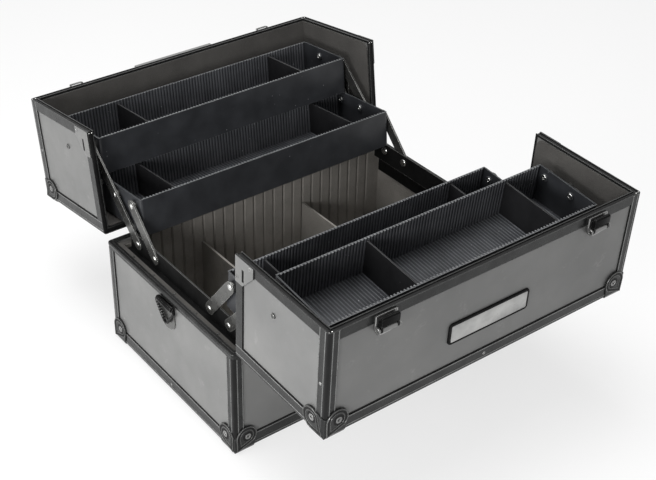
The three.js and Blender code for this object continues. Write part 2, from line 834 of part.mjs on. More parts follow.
// The cranked link between a lid's end wall and its lower tray, drawn about the rivet in the lid
function lidLink(end, length) {
  const span = [end * linkInner, end * linkOuter];
  const lidEnd = new THREE.Vector2(0, 0);
  const knee = new THREE.Vector2(linkKneeAlong, -linkKneeSide);
  const trayPoint = new THREE.Vector2(length, 0);
  const plate = join(
    bar(lidEnd, knee, linkHalfWidth, span),
    bar(knee, trayPoint, linkHalfWidth, span),
    rodX(linkEndRadius, span, length, 0, linkEndFacets),
  );
  const headFace = halfLength - panelInset + clearance;
  const rivet = steppedRod(end, 0, 0, [
    [collarRadius, linkOuter - weld, lidLiningInner - clearance],
    [pinRadius, lidLiningInner - clearance, headFace],
    [lidHeadRadius, headFace, headFace + headThick],
  ]);
  const hole = rodX(pinRadius + clearance + linkSlack, [0, end * caseLength], length, 0);
  return cut(join(plate, rivet), hole);
}

// Latch on the front lid: a half-round plate with two ears, and a lever between them
function latchPlate(x) {
  const half = latchWidth / 2;
  const y0 = splitHalf + latchSetback;
  const y1 = y0 + latchLength;
  const bottom = lidTop + clearance;
  const top = bottom + latchPlateThick;
  const tip = half * latchTipShare;
  const rounds = [latchPlateRound, latchPlateRound, tip, tip];
  const plate = plateZ(outline(x - half, x + half, y0, y1, rounds), [bottom, top]);
  const pinY = y0 + latchPinBack;
  const pinZ = top + clearance + leverRound;
  const earRounds = [0, 0, latchEarRound, latchEarRound];
  const ySpan = [pinY - leverRound, pinY + leverRound];
  const earShape = outline(...ySpan, top - weld, top + latchEarHeight, earRounds);
  let body = plate;
  for (const end of [-1, 1]) {
    const face = x + end * half;
    const ear = plateX(earShape, [face - end * latchEarThick, face]);
    body = body.add(ear);
  }
  return body.subtract(rodX(latchPinRadius + clearance, [x - latchWidth, x + latchWidth], pinY, pinZ));
}

function latchLever(x) {
  const half = latchWidth / 2 - latchEarThick - clearance;
  const y0 = splitHalf + latchSetback;
  const pinY = y0 + latchPinBack;
  const bottom = lidTop + 2 * clearance + latchPlateThick;
  const pinZ = bottom + leverRound;
  const top = pinZ + leverRound;
  const side = new THREE.Shape();
  side.moveTo(y0, top - leverLip);
  side.lineTo(y0 + leverLip, top - leverLip);
  side.lineTo(y0 + leverLip, bottom);
  side.absarc(pinY, pinZ, leverRound, -Math.PI / 2, Math.PI / 2);
  side.lineTo(y0 + leverLip, top);
  side.lineTo(y0, top - leverLip / 2);
  const body = plateX(side, [x - half, x + half]);
  const reach = latchWidth / 2;
  return body.add(rodX(latchPinRadius, [x - reach, x + reach], pinY, pinZ));
}

function catchHook(x) {
  const half = catchWidth / 2;
  const y0 = splitHalf + latchSetback;
  const bottom = lidTop + clearance;
  const side = new THREE.Shape();
  side.moveTo(y0, bottom);
  side.lineTo(y0 + catchLength, bottom);
  side.lineTo(y0 + catchLength, bottom + catchThick);
  side.lineTo(y0 + catchThick, bottom + catchThick);
  side.lineTo(y0 + catchThick, bottom + catchHeight - catchThick);
  side.lineTo(y0 + catchLip, bottom + catchHeight - catchThick);
  side.lineTo(y0 + catchLip, bottom + catchHeight);
  side.lineTo(y0, bottom + catchHeight);
  return plateX(side, [x - half, x + half]);
}

// A flat hoop with bevelled edges: two legs from v = 0 and a bar across their far ends,
// drawn in (X, Y) and centred on its own thickness
function hoopGeometry(outerHalf, reach, width, round, thick, bevel) {
  const half = outerHalf - bevel;
  const far = reach - bevel;
  const inHalf = half - width + 2 * bevel;
  const inFar = far - width + 2 * bevel;
  const outRound = round - bevel;
  const inRound = Math.max(round - width + bevel, bevel);
  const quarter = Math.PI / 2;
  const shape = new THREE.Shape();
  shape.moveTo(half, bevel);
  shape.lineTo(half, far - outRound);
  shape.absarc(half - outRound, far - outRound, outRound, 0, quarter);
  shape.absarc(outRound - half, far - outRound, outRound, quarter, 2 * quarter);
  shape.lineTo(-half, bevel);
  shape.lineTo(-inHalf, bevel);
  shape.lineTo(-inHalf, inFar - inRound);
  shape.absarc(inRound - inHalf, inFar - inRound, inRound, 2 * quarter, quarter, true);
  shape.absarc(inHalf - inRound, inFar - inRound, inRound, quarter, 0, true);
  shape.lineTo(inHalf, bevel);
  const depth = thick - 2 * bevel;
  const options = { depth, curveSegments: 2, bevelSegments: 1, bevelSize: bevel, bevelThickness: bevel };
  const geometry = new THREE.ExtrudeGeometry(shape, options);
  geometry.translate(0, 0, -depth / 2);
  return geometry;
}

// Carry handle on the rear lid
function handleMount() {
  const y0 = splitHalf + handleSetback;
  const y1 = y0 + handlePlateWidth;
  const bottom = lidTop + clearance;
  const top = bottom + handlePlateThick;
  const outer = handleHalfSpan + handleEarThick;
  const plate = plateZ(rounded(-outer, outer, y0, y1, handlePlateRound), [bottom, top]);
  const earRounds = [0, 0, handleEarRound, handleEarRound];
  const earShape = outline(y0, y1, top - weld, top + handleEarHeight, earRounds);
  const pinY = (y0 + y1) / 2;
  let body = plate;
  for (const end of [-1, 1]) {
    body = body.add(plateX(earShape, [end * handleHalfSpan, end * outer]));
  }
  const bore = rodX(handlePinRadius + clearance, [-caseLength, caseLength], pinY, top + handlePinRise);
  return body.subtract(bore);
}

function handleGrip() {
  const pinY = splitHalf + handleSetback + handlePlateWidth / 2;
  const pinZ = lidTop + clearance + handlePlateThick + handlePinRise;
  const half = handleHalfSpan - clearance;
  const hoop = hoopGeometry(half, gripReach, gripWidth, gripCorner, gripThick, gripBevel);
  hoop.translate(0, pinY - gripThick / 2, pinZ);
  const pinEnd = handleHalfSpan + handleEarThick;
  const legMiddle = half - gripWidth / 2;
  return join(
    toSolid(hoop),
    rodX(handlePinRadius, [-pinEnd, -legMiddle], pinY, pinZ),
    rodX(handlePinRadius, [legMiddle, pinEnd], pinY, pinZ),
  );
}

// Strap fitting on an end of the base: a tongue rolled over into a barrel at its top, and a
// three-cornered ring whose straight side hangs in the barrel
function strapPlate(end) {
  const half = strapPlateWidth / 2;
  const tip = half * strapTipShare;
  const bottom = strapPlateTop - strapPlateHeight;
  const ySpan = [strapPlace - half, strapPlace + half];
  const tongue = plateX(
    outline(...ySpan, bottom, strapPlateTop - barrelRadius, [tip, tip, 0, 0]),
    [end * strapFace, end * (strapFace + strapPlateThick)],
    strapTipFacets,
  );
  const x = end * strapPinX;
  const barrel = rodY(barrelRadius, ySpan, x, strapPinZ);
  const bore = rodY(ringRodRadius + ringPlay, [-caseWidth, caseWidth], x, strapPinZ);
  return join(tongue, barrel).subtract(bore);
}

function strapRing(end) {
  const x = end * strapPinX;
  const corners = [
    new THREE.Vector3(x, strapPlace + ringHalfWidth, strapPinZ),
    new THREE.Vector3(x, strapPlace - ringHalfWidth, strapPinZ),
    new THREE.Vector3(x, strapPlace, strapPinZ - ringDrop),
  ];
  const path = new THREE.CurvePath();
  corners.forEach((corner, i) => {
    const next = corners[(i + 1) % corners.length];
    const afterNext = corners[(i + 2) % corners.length];
    const sideStart = corner.clone().lerp(next, ringBendShare);
    const sideEnd = corner.clone().lerp(next, 1 - ringBendShare);
    const nextStart = next.clone().lerp(afterNext, ringBendShare);
    path.add(new THREE.LineCurve3(sideStart, sideEnd));
    path.add(new THREE.QuadraticBezierCurve3(sideEnd, next, nextStart));
  });
  return toSolid(new THREE.TubeGeometry(path, ringSegments, ringRodRadius, ringFacets, true));
}

// Where the moving pieces stand, in the (Y, Z) plane of a side, with Y outward
function polar(radius, degrees) {
  const angle = THREE.MathUtils.degToRad(degrees);
  return new THREE.Vector2(radius * Math.cos(angle), radius * Math.sin(angle));
}

function turned(point, degrees) {
  return point.clone().rotateAround(new THREE.Vector2(), THREE.MathUtils.degToRad(degrees));
}

function linkage(side) {
  const longFoot = new THREE.Vector2(longPivotOut, pivotHeight);
  const shortFoot = new THREE.Vector2(shortPivotOut, pivotHeight);
  const hinge = new THREE.Vector2(hingeY, hingeZ);
  const shortPin = new THREE.Vector2(-trayPivotPitch, 0);
  const linkPin = new THREE.Vector2(linkStubOut, -linkStubDrop);
  const place = (armAngle, tilt, swing) => {
    const lower = longFoot.clone().add(polar(armPitch, armAngle));
    return {
      lower,
      upper: longFoot.clone().add(polar(2 * armPitch, armAngle)),
      shortTip: lower.clone().add(turned(shortPin, -tilt)),
      upperShortFoot: lower.clone().add(turned(shortPin.clone().negate(), -tilt)),
      linkTray: lower.clone().add(turned(linkPin, -tilt)),
      linkLid: hinge.clone().add(turned(lidPivot.clone().sub(hinge), -swing)),
    };
  };
  const open = place(side.armAngle, trayTilt, side.swing);
  const closed = place(closedArmAngle, 0, 0);
  const mean = (a, b) => (open[a].distanceTo(open[b]) + closed[a].distanceTo(closed[b])) / 2;
  open.longFoot = longFoot;
  open.shortFoot = shortFoot;
  closed.shortFoot = shortFoot;
  open.linkLength = mean('linkLid', 'linkTray');
  open.shortLength = mean('shortFoot', 'shortTip');
  const toTray = open.linkTray.clone().sub(open.linkLid);
  const toTip = open.shortTip.clone().sub(shortFoot);
  open.linkAngle = THREE.MathUtils.radToDeg(toTray.angle());
  open.shortAngle = THREE.MathUtils.radToDeg(toTip.angle());
  return open;
}

// A group turned about a line along X through a point of the (Y, Z) plane
function pivoted(point, degrees, ...children) {
  const group = new THREE.Group();
  group.position.set(0, point.x, point.y);
  group.rotation.x = THREE.MathUtils.degToRad(degrees);
  group.add(...children);
  return group;
}

function swungLid(side, ...children) {
  const closed = new THREE.Group();
  closed.position.set(0, -hingeY, -hingeZ);
  closed.add(...children);
  return pivoted(new THREE.Vector2(hingeY, hingeZ), -side.swing, closed);
}

const lidFittings = {
  rear: (endName) => [
    ...[-1, 1].map(
      (end) => node(`catch_${endName(end)}`, catchHook(end * latchPlace), finishes.steel()),
    ),
    node('handle_mount', handleMount(), finishes.latch()),
    node('handle_grip', handleGrip(), finishes.grip()),
  ],
  front: (endName) => [-1, 1].flatMap((end) => [
    node(`latch_plate_${endName(end)}`, latchPlate(end * latchPlace), finishes.latch()),
    node(`latch_lever_${endName(end)}`, latchLever(end * latchPlace), finishes.latch()),
  ]),
};

function sideOfCase(side) {
  const at = linkage(side);
  const facing = Math.cos(THREE.MathUtils.degToRad(side.turn));
  const endName = (end) => (end * facing > 0 ? 'right' : 'left');
  const named = (piece) => `${side.name}_${piece}`;
  const pair = (piece, make, material) => [-1, 1].map(
    (end) => node(named(`${piece}_${endName(end)}`), make(end), material()),
  );
  const dividers = (piece, width, inset, slots) => slots.map(
    (slot) => node(
      named(`${piece}_${endName(slot)}`),
      trayDivider(width, inset, slot),
      finishes.divider(),
    ),
  );
  const lid = swungLid(
    side,
    node(named('lid_panels'), lidPanels(), finishes.panel()),
    node(named('lid_frame'), lidFrame(), finishes.extrusion()),
    node(named('lid_lining'), lidLining(), finishes.foam()),
    node(named('hinge_lid_leaf'), hingeLidLeaf(), finishes.steel()),
    ...lidFittings[side.name](endName),
  );
  const lowerInset = lowerPivotInset + trayPivotPitch;
  const makeShortArm = (end) => shortArm(end, at.shortLength);
  const makeLink = (end) => lidLink(end, at.linkLength);
  const group = new THREE.Group();
  group.rotation.z = THREE.MathUtils.degToRad(side.turn);
  group.add(
    lid,
    node(named('hinge_base_leaf'), hingeBaseLeaf(), finishes.steel()),
    pivoted(at.longFoot, side.armAngle, ...pair('long_arm', longArm, finishes.arm)),
    pivoted(at.shortFoot, at.shortAngle, ...pair('short_arm', makeShortArm, finishes.arm)),
    pivoted(at.upperShortFoot, side.armAngle, ...pair('upper_short_arm', upperShortArm, finishes.arm)),
    pivoted(at.linkLid, at.linkAngle, ...pair('lid_link', makeLink, finishes.arm)),
    pivoted(
      at.lower,
      -trayTilt,
      node(named('lower_tray'), lowerTray(side.lowerSlots), finishes.tray()),
      ...dividers('lower_divider', lowerTrayWidth, lowerInset, side.lowerSlots),
    ),
    pivoted(
      at.upper,
      -trayTilt,
      node(named('upper_tray'), upperTray(side.upperSlots), finishes.tray()),
      ...dividers('upper_divider', upperTrayWidth, upperPivotInset, side.upperSlots),
    ),
  );
  return group;
}

const carryCase = new THREE.Group();
carryCase.add(
  node('base_panels', basePanels(), finishes.panel()),
  node('base_frame', baseFrame(), finishes.extrusion()),
  node('base_rim', baseRim(), finishes.extrusion()),
  node('base_lining', baseLining(), finishes.foam()),
  ...sides.map(sideOfCase),
);
for (const x of baseDividerPlaces) {
  carryCase.add(node(`base_divider_${x < 0 ? 'left' : 'right'}`, baseDivider(x), finishes.foam()));
}
for (const end of [-1, 1]) {
  const name = end < 0 ? 'left' : 'right';
  carryCase.add(
    node(`end_bracket_${name}`, endBracket(end), finishes.arm()),
    node(`strap_plate_${name}`, strapPlate(end), finishes.steel()),
    node(`strap_ring_${name}`, strapRing(end), finishes.steel()),
  );
}

export default carryCase;
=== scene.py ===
import math

import bmesh
import bpy
from mathutils import Matrix, Vector


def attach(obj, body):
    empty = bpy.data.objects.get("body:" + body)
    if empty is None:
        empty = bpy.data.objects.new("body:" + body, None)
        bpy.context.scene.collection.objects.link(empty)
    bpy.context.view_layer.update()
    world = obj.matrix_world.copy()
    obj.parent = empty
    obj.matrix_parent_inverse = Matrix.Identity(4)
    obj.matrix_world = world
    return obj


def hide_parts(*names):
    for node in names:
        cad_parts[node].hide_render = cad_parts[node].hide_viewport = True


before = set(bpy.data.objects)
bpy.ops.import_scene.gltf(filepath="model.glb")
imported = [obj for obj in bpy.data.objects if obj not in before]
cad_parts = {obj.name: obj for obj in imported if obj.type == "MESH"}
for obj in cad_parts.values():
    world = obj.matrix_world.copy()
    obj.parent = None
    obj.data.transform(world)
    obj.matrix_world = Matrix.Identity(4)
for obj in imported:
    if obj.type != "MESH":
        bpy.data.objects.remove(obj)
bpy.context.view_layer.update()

# The case is drawn in millimetres here, in the frame's own axes
MM = 0.001
HALF_LENGTH = 235.0
HALF_WIDTH = 149.0
BASE_HEIGHT = 157.0
BASE_FOOT = 0.3
LID_BOTTOM = 157.5
LID_TOP = 326.5
SPLIT_HALF = 0.5
PANEL_INSET = 1.5
FRAME_LEG = 14.0
FOOT_LEG = 20.0
LID_RIM_LEG = 12.5
LID_TOP_LEG = 16.0
LID_BACK_LEG = 18.5
CORNER_ROUND = 4.0
HINGE_Y = 155.0
HINGE_Z = 156.5

RIM_LEG = 8.0
RIM_WIDTH = 8.0
LIP_WIDTH = 1.2
LIP_DEPTH = 2.0

CAP_THICK = 1.4
LOBE_ACROSS = 17.0
LOBE_UP = 21.5
CORNER_PLATE_THICK = 1.2

LONG_FOOT = (107.0, 165.5)
SHORT_FOOT = (64.8, 165.5)
ARM_PITCH = 74.0
TRAY_PIVOT_PITCH = 45.0
TRAY_TILT = 6.0
TRAY_END = 206.0
TRAY_WALL = 2.0
TRAY_TOP = 12.0
TRAY_BOTTOM = -41.0
SLOT_PITCH = 4.8
TRAY_SPAN = {"lower": (-60.0, 54.0), "upper": (-13.0, 85.0)}
ARM_OUTER = 212.5
BRACKET_INNER = 207.7
LID_PIVOT = (42.2, 228.1)

LATCH_PLACE = 160.0
LATCH_HALF = 15.0
LATCH_PIN = (20.5, 332.6)
LATCH_PLATE_SPAN = (3.5, 31.5)

STRAP_FACE = 235.3
STRAP_PIN_X = 237.8
STRAP_PIN_Z = 145.0
STRAP_HALF_WIDTH = 17.0
STRAP_RING_HALF = 24.0
STRAP_RING_TIP = 112.0

SIDES = {
    "rear": {"turn": 0, "swing": 98, "arm": 41.5},
    "front": {"turn": 180, "swing": 92, "arm": 48},
}

# The camera stands where the photograph was taken from
CAMERA_PLACE = (-0.8755, -1.1343, 1.1151)
CAMERA_RIGHT = (0.8112, -0.5848, 0.0012)
CAMERA_FORWARD = (0.4844, 0.6707, -0.5617)
CAMERA_LENS = 70.44
CAMERA_SHIFT = (0.0705, 0.0045)
CAMERA_CLIP = (0.05, 50)


def make_camera():
    data = bpy.data.cameras.new("camera")
    camera = bpy.data.objects.new("camera", data)
    bpy.context.scene.collection.objects.link(camera)
    right = Vector(CAMERA_RIGHT).normalized()
    back = -Vector(CAMERA_FORWARD).normalized()
    up = back.cross(right).normalized()
    right = up.cross(back).normalized()
    turn = Matrix((right, up, back)).transposed().to_4x4()
    camera.matrix_world = Matrix.Translation(Vector(CAMERA_PLACE)) @ turn
    data.lens = CAMERA_LENS
    data.shift_x, data.shift_y = CAMERA_SHIFT
    data.clip_start, data.clip_end = CAMERA_CLIP
    bpy.context.scene.camera = camera


# Materials. Lengths in their nodes are in metres
PATCH_SCALE = 60
PATCH_LEAST_SHARE = 0.6
BEVEL_SAMPLES = 8
GRAIN_BEVEL_SAMPLES = 4
HOLLOW_SAMPLES = 6


class Nodes:
    """One material's node tree, with a short call for each node and link."""

    def __init__(self, name):
        self.material = bpy.data.materials.new(name)
        self.material.use_nodes = True
        self.tree = self.material.node_tree
        self.tree.nodes.clear()
        self.output = self.new("OutputMaterial")
        self.shader = self.new("BsdfPrincipled")
        self.link(self.shader.outputs[0], self.output.inputs["Surface"])
        self.place = self.new("TexCoord").outputs["Object"]

    def new(self, kind):
        return self.tree.nodes.new("ShaderNode" + kind)

    def link(self, out, into):
        self.tree.links.new(out, into)

    def noise(self, scale, detail, roughness=0.5):
        node = self.new("TexNoise")
        node.inputs["Scale"].default_value = scale
        node.inputs["Detail"].default_value = detail
        node.inputs["Roughness"].default_value = roughness
        self.link(self.place, node.inputs["Vector"])
        return node.outputs["Fac"]

    def cells(self, scale):
        node = self.new("TexVoronoi")
        node.inputs["Scale"].default_value = scale
        self.link(self.place, node.inputs["Vector"])
        return node.outputs["Distance"]

    def ramp(self, value, low, high, out_low=0.0, out_high=1.0):
        node = self.new("MapRange")
        node.inputs["From Min"].default_value = low
        node.inputs["From Max"].default_value = high
        node.inputs["To Min"].default_value = out_low
        node.inputs["To Max"].default_value = out_high
        self.link(value, node.inputs["Value"])
        return node.outputs[0]

    def fill(self, socket, value):
        """Puts a colour, a number or another node's output into a socket."""
        if isinstance(value, tuple):
            socket.default_value = (*value, 1)
        elif isinstance(value, (int, float)):
            socket.default_value = value
        else:
            self.link(value, socket)

    def set(self, socket, value):
        self.fill(self.shader.inputs[socket], value)

    def math(self, operation, first, second):
        node = self.new("Math")
        node.operation = operation
        self.fill(node.inputs[0], first)
        self.fill(node.inputs[1], second)
        return node.outputs[0]

    def mix(self, factor, first, second):
        node = self.new("Mix")
        node.data_type = "RGBA"
        self.link(factor, node.inputs["Factor"])
        self.fill(node.inputs["A"], first)
        self.fill(node.inputs["B"], second)
        return node.outputs["Result"]

    def edges(self, radius, amount=1.0):
        """Rubbed edges with a painted highlight on them: 0 on flats and in hollows, up to the amount where
        the surface turns outward.
        """
        bevel = self.new("Bevel")
        bevel.samples = BEVEL_SAMPLES
        bevel.inputs["Radius"].default_value = radius
        surface = self.new("NewGeometry")
        dot = self.new("VectorMath")
        dot.operation = "DOT_PRODUCT"
        self.link(bevel.outputs[0], dot.inputs[0])
        self.link(surface.outputs["Normal"], dot.inputs[1])
        turn = self.ramp(self.math("SUBTRACT", 1.0, dot.outputs["Value"]), low=0.01, high=0.10)
        hollow = self.new("AmbientOcclusion")
        hollow.samples = HOLLOW_SAMPLES
        hollow.inputs["Distance"].default_value = 2 * radius
        bare = self.ramp(hollow.outputs["AO"], low=0.70, high=0.90)
        patches = self.noise(PATCH_SCALE, detail=3)
        # The edge mark is partly rubbed wear and partly a painted highlight on every outward edge
        wear_and_highlight = self.ramp(patches, low=0.30, high=0.60, out_low=PATCH_LEAST_SHARE * amount, out_high=amount)
        return self.math("MULTIPLY", self.math("MULTIPLY", turn, bare), wear_and_highlight)

    def bump(self, height, distance, strength=1.0, round_edges=None):
        node = self.new("Bump")
        node.inputs["Strength"].default_value = strength
        node.inputs["Distance"].default_value = distance
        self.link(height, node.inputs["Height"])
        if round_edges:
            bevel = self.new("Bevel")
            bevel.samples = GRAIN_BEVEL_SAMPLES
            bevel.inputs["Radius"].default_value = round_edges
            self.link(bevel.outputs[0], node.inputs["Normal"])
        self.link(node.outputs[0], self.shader.inputs["Normal"])


def grey(level):
    return level, level, level


PANEL_DARK = (0.145, 0.146, 0.144)
PANEL_LIGHT = (0.190, 0.190, 0.186)
PANEL_MARK = (0.30, 0.30, 0.29)


def panel_material():
    """Satin grey sheet: faint clouding, handling marks and the finest grain."""
    n = Nodes("panel_satin")
    clouds = n.ramp(n.noise(scale=9, detail=4), low=0.3, high=0.7)
    areas = n.ramp(n.noise(scale=34, detail=2), low=0.62, high=0.70)
    scuffs = n.ramp(n.noise(scale=260, detail=4), low=0.45, high=0.7)
    marks = n.math("MULTIPLY", n.math("MULTIPLY", areas, scuffs), 0.35)
    n.set("Base Color", n.mix(marks, n.mix(clouds, PANEL_DARK, PANEL_LIGHT), PANEL_MARK))
    n.set("Metallic", 0.2)
    n.set("Specular IOR Level", 0.35)
    n.set("Roughness", n.ramp(n.noise(scale=40, detail=3), low=0.3, high=0.7, out_low=0.33, out_high=0.45))
    grain = n.noise(scale=2500, detail=2)
    waves = n.math("MULTIPLY", n.noise(scale=14, detail=2), 6)
    n.bump(n.math("ADD", grain, waves), distance=0.00006, strength=0.5, round_edges=0.0004)
    return n.material


def metal_material(name, dark, light, edge, roughness, metallic, wear_and_highlight=0.0007, specular=0.5):
    """Coated or plated metal: clouded colour, a fine grain and brighter edges, partly rubbed and partly a
    painted highlight.
    """
    n = Nodes(name)
    base = n.mix(n.ramp(n.noise(scale=45, detail=4), low=0.35, high=0.65), dark, light)
    # Lighter edges: partly rubbed, partly a painted highlight
    n.set("Base Color", n.mix(n.edges(wear_and_highlight), base, edge))
    n.set("Metallic", metallic)
    n.set("Specular IOR Level", specular)
    smears = n.noise(scale=110, detail=3)
    n.set("Roughness", n.ramp(smears, 0.3, 0.7, out_low=roughness * 0.8, out_high=roughness * 1.25))
    n.bump(n.noise(scale=900, detail=2), distance=0.00005, strength=0.5, round_edges=0.0005)
    return n.material


def foam_material(name, dark, light, fibre):
    """Grey-brown lining: matt, finely felted, with paler rubbed patches."""
    n = Nodes(name)
    felt = n.noise(scale=1400, detail=4, roughness=0.7)
    rub = n.noise(scale=22, detail=4, roughness=0.6)
    colour = n.mix(n.ramp(rub, low=0.35, high=0.7), dark, light)
    n.set("Base Color", n.mix(n.ramp(felt, low=0.35, high=0.75), colour, fibre))
    n.set("Roughness", 0.95)
    n.set("Specular IOR Level", 0.25)
    n.bump(n.math("ADD", felt, n.noise(scale=320, detail=3)), distance=0.0003, strength=0.8)
    return n.material


def plastic_material(name, dark, light, edge, roughness, dust=0.30, specular=0.3):
    """Moulded plastic with a fine grain, specks of dust and pale edges, partly rubbed and partly a painted
    highlight.
    """
    n = Nodes(name)
    base = n.mix(n.ramp(n.noise(scale=30, detail=4), low=0.35, high=0.7), dark, light)
    dots = n.ramp(n.cells(scale=130), low=0.10, high=0.05)
    dusty_areas = n.ramp(n.noise(scale=48, detail=2), low=0.55, high=0.63)
    dusty = n.mix(n.math("MULTIPLY", dots, dusty_areas), base, (dust, dust, dust * 1.05))
    # Lighter edges: partly rubbed, partly a painted highlight
    n.set("Base Color", n.mix(n.edges(0.0005, amount=0.85), dusty, edge))
    n.set("Specular IOR Level", specular)
    smears = n.noise(scale=90, detail=3)
    n.set("Roughness", n.ramp(smears, 0.3, 0.7, out_low=roughness * 0.85, out_high=roughness * 1.15))
    n.bump(n.noise(scale=2200, detail=2), distance=0.00006, strength=0.5, round_edges=0.0004)
    return n.material


# Each edge colour here is partly rubbed wear and partly a painted highlight along the edges
MATERIALS = {
    "panel": panel_material(),
    "extrusion": metal_material(
        "extrusion_charcoal", dark=(0.012, 0.0124, 0.0124), light=(0.023, 0.0237, 0.0233),
        edge=(0.105, 0.106, 0.104), roughness=0.27, metallic=0.45, specular=0.35),
    # Blacker than the extrusion: a painted dark reflection on the rolled corners
    "roll": plastic_material(
        "roll_dark_reflection", dark=grey(0.003), light=grey(0.006), edge=grey(0.02),
        roughness=0.2, dust=0.04, specular=0.2),
    # Far lighter than the extrusion: painted highlight lines on its low beads
    "line": metal_material(
        "line_highlight", dark=(0.13, 0.132, 0.13), light=(0.18, 0.182, 0.18), edge=(0.34, 0.34, 0.335),
        roughness=0.3, metallic=0.6),
    "trim": metal_material(
        "trim_charcoal", dark=(0.050, 0.051, 0.050), light=(0.085, 0.086, 0.084),
        edge=(0.30, 0.30, 0.295), roughness=0.28, metallic=0.6),
    "steel": metal_material(
        "fitting_steel", dark=(0.16, 0.16, 0.158), light=(0.24, 0.24, 0.236), edge=(0.50, 0.50, 0.49),
        roughness=0.33, metallic=0.7),
    "silver": metal_material(
        "plate_silver", dark=(0.34, 0.34, 0.335), light=(0.46, 0.46, 0.45), edge=(0.65, 0.65, 0.64),
        roughness=0.34, metallic=0.8),
    "arm": metal_material(
        "arm_satin", dark=(0.080, 0.080, 0.077), light=(0.125, 0.125, 0.120), edge=(0.60, 0.60, 0.58),
        roughness=0.28, metallic=0.75),
    # The bracket's wider edge band is a painted highlight: a light band along its top edge
    "bracket": metal_material(
        "bracket_black", dark=grey(0.004), light=grey(0.007), edge=(0.15, 0.15, 0.146),
        roughness=0.45, metallic=0.0, wear_and_highlight=0.0012, specular=0.10),
    "bright": metal_material(
        "rivet_bright", dark=(0.50, 0.50, 0.49), light=(0.66, 0.66, 0.64), edge=(0.85, 0.85, 0.83),
        roughness=0.24, metallic=1.0, wear_and_highlight=0.0004),
    "foam": foam_material(
        "lining_foam", dark=(0.158, 0.149, 0.137), light=(0.262, 0.248, 0.228), fibre=(0.325, 0.308, 0.282)),
    "board": foam_material(
        "lining_board", dark=(0.046, 0.0437, 0.0414), light=(0.076, 0.0725, 0.068),
        fibre=(0.092, 0.0885, 0.083)),
    "tray": plastic_material(
        "tray_plastic", dark=(0.023, 0.0242, 0.0270), light=(0.037, 0.0388, 0.0430),
        edge=(0.20, 0.21, 0.215), roughness=0.36),
    # The ribs are the tray's black plastic coloured lighter: painted light inside the trays, with dust on
    # top
    "rib": plastic_material(
        "tray_ribs", dark=(0.064, 0.066, 0.073), light=(0.094, 0.097, 0.106), edge=(0.18, 0.185, 0.19),
        roughness=0.40, dust=0.5),
    # The lips' pale colour is a painted highlight along the trays' top edges and rib tops
    "lip": plastic_material(
        "tray_lip_highlights", dark=(0.085, 0.088, 0.092), light=(0.135, 0.140, 0.145), edge=(0.34, 0.35, 0.355),
        roughness=0.35, dust=0.4, specular=0.5),
    "divider": plastic_material(
        "divider_plastic", dark=(0.010, 0.010, 0.0108), light=(0.017, 0.017, 0.0184), edge=grey(0.13),
        roughness=0.5, dust=0.1, specular=0.2),
    "gasket": plastic_material(
        "gasket_rubber", dark=grey(0.004), light=grey(0.007), edge=grey(0.02),
        roughness=0.5, dust=0.05, specular=0.15),
    "latch": plastic_material(
        "latch_black", dark=grey(0.003), light=grey(0.006), edge=grey(0.10),
        roughness=0.20, dust=0.06, specular=0.05),
    "grip": plastic_material(
        "grip_black", dark=(0.012, 0.012, 0.013), light=(0.018, 0.018, 0.019), edge=grey(0.10),
        roughness=0.55, dust=0.15),
}

# The finish of a node, by the last word of its name that stands here, or by its whole name
FINISH_OF = {
    "panels": "panel", "frame": "extrusion", "rim": "extrusion", "lining": "board", "divider": "divider",
    "bracket": "bracket", "leaf": "extrusion", "catch": "steel", "mount": "steel", "grip": "grip",
    "plate": "steel", "ring": "latch", "lever": "latch", "tray": "tray", "arm": "arm", "link": "arm",
}
FINISH_OF_NODE = {
    "base_lining": "foam", "base_divider_left": "foam", "base_divider_right": "foam",
    "strap_plate_left": "arm", "strap_plate_right": "arm",
}


def dress_nodes():
    for name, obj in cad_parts.items():
        words = reversed(name.split("_"))
        finish = FINISH_OF_NODE.get(name) or FINISH_OF[next(w for w in words if w in FINISH_OF)]
        obj.data.materials.clear()
        obj.data.materials.append(MATERIALS[finish])


# Places: each is a matrix from the drawing of a part, in millimetres, to where it stands
def turn_about(axis, degrees):
    return Matrix.Rotation(math.radians(degrees), 4, axis)


def shift(x, y, z):
    return Matrix.Translation((x, y, z))


def side_place(side):
    return turn_about("Z", SIDES[side]["turn"])


def lid_place(side):
    swing = turn_about("X", -SIDES[side]["swing"])
    return side_place(side) @ shift(0, HINGE_Y, HINGE_Z) @ swing @ shift(0, -HINGE_Y, -HINGE_Z)


def arm_points(side):
    """The pivots of one side's linkage, in (Y, Z)."""
    arm = Vector((ARM_PITCH, 0)) @ Matrix.Rotation(math.radians(SIDES[side]["arm"]), 2).transposed()
    along_tray = Vector((TRAY_PIVOT_PITCH, 0)) @ Matrix.Rotation(math.radians(-TRAY_TILT), 2).transposed()
    lower = Vector(LONG_FOOT) + arm
    return {
        "long_foot": Vector(LONG_FOOT),
        "short_foot": Vector(SHORT_FOOT),
        "lower": lower,
        "upper": lower + arm,
        "short_tip": lower - along_tray,
        "upper_short_foot": lower + along_tray,
        "upper_short_tip": lower + along_tray + arm,
    }


def tray_place(side, level):
    return side_place(side) @ shift(0, *arm_points(side)[level]) @ turn_about("X", -TRAY_TILT)


def on_face(place, point, outward):
    """A place on a face: local Z points out of it."""
    return place @ shift(*point) @ Vector(outward).to_track_quat("Z", "Y").to_matrix().to_4x4()


def basis(corner, across, up, outward):
    """A place drawn with X across, Y up and Z out of a face, from one of its corners."""
    columns = Matrix((across, up, outward)).transposed().to_4x4()
    return shift(*corner) @ columns


# Shapes
IDENTITY = Matrix.Identity(4)
SMOOTH_BELOW = math.radians(38)
MERGE = 0.0000005
LATHE_STEPS = 24
EYELET_STEPS = 20
RIVET_STEPS = 16
SCREW_STEPS = 12
BAR_SHOULDER_SHARE = 0.6

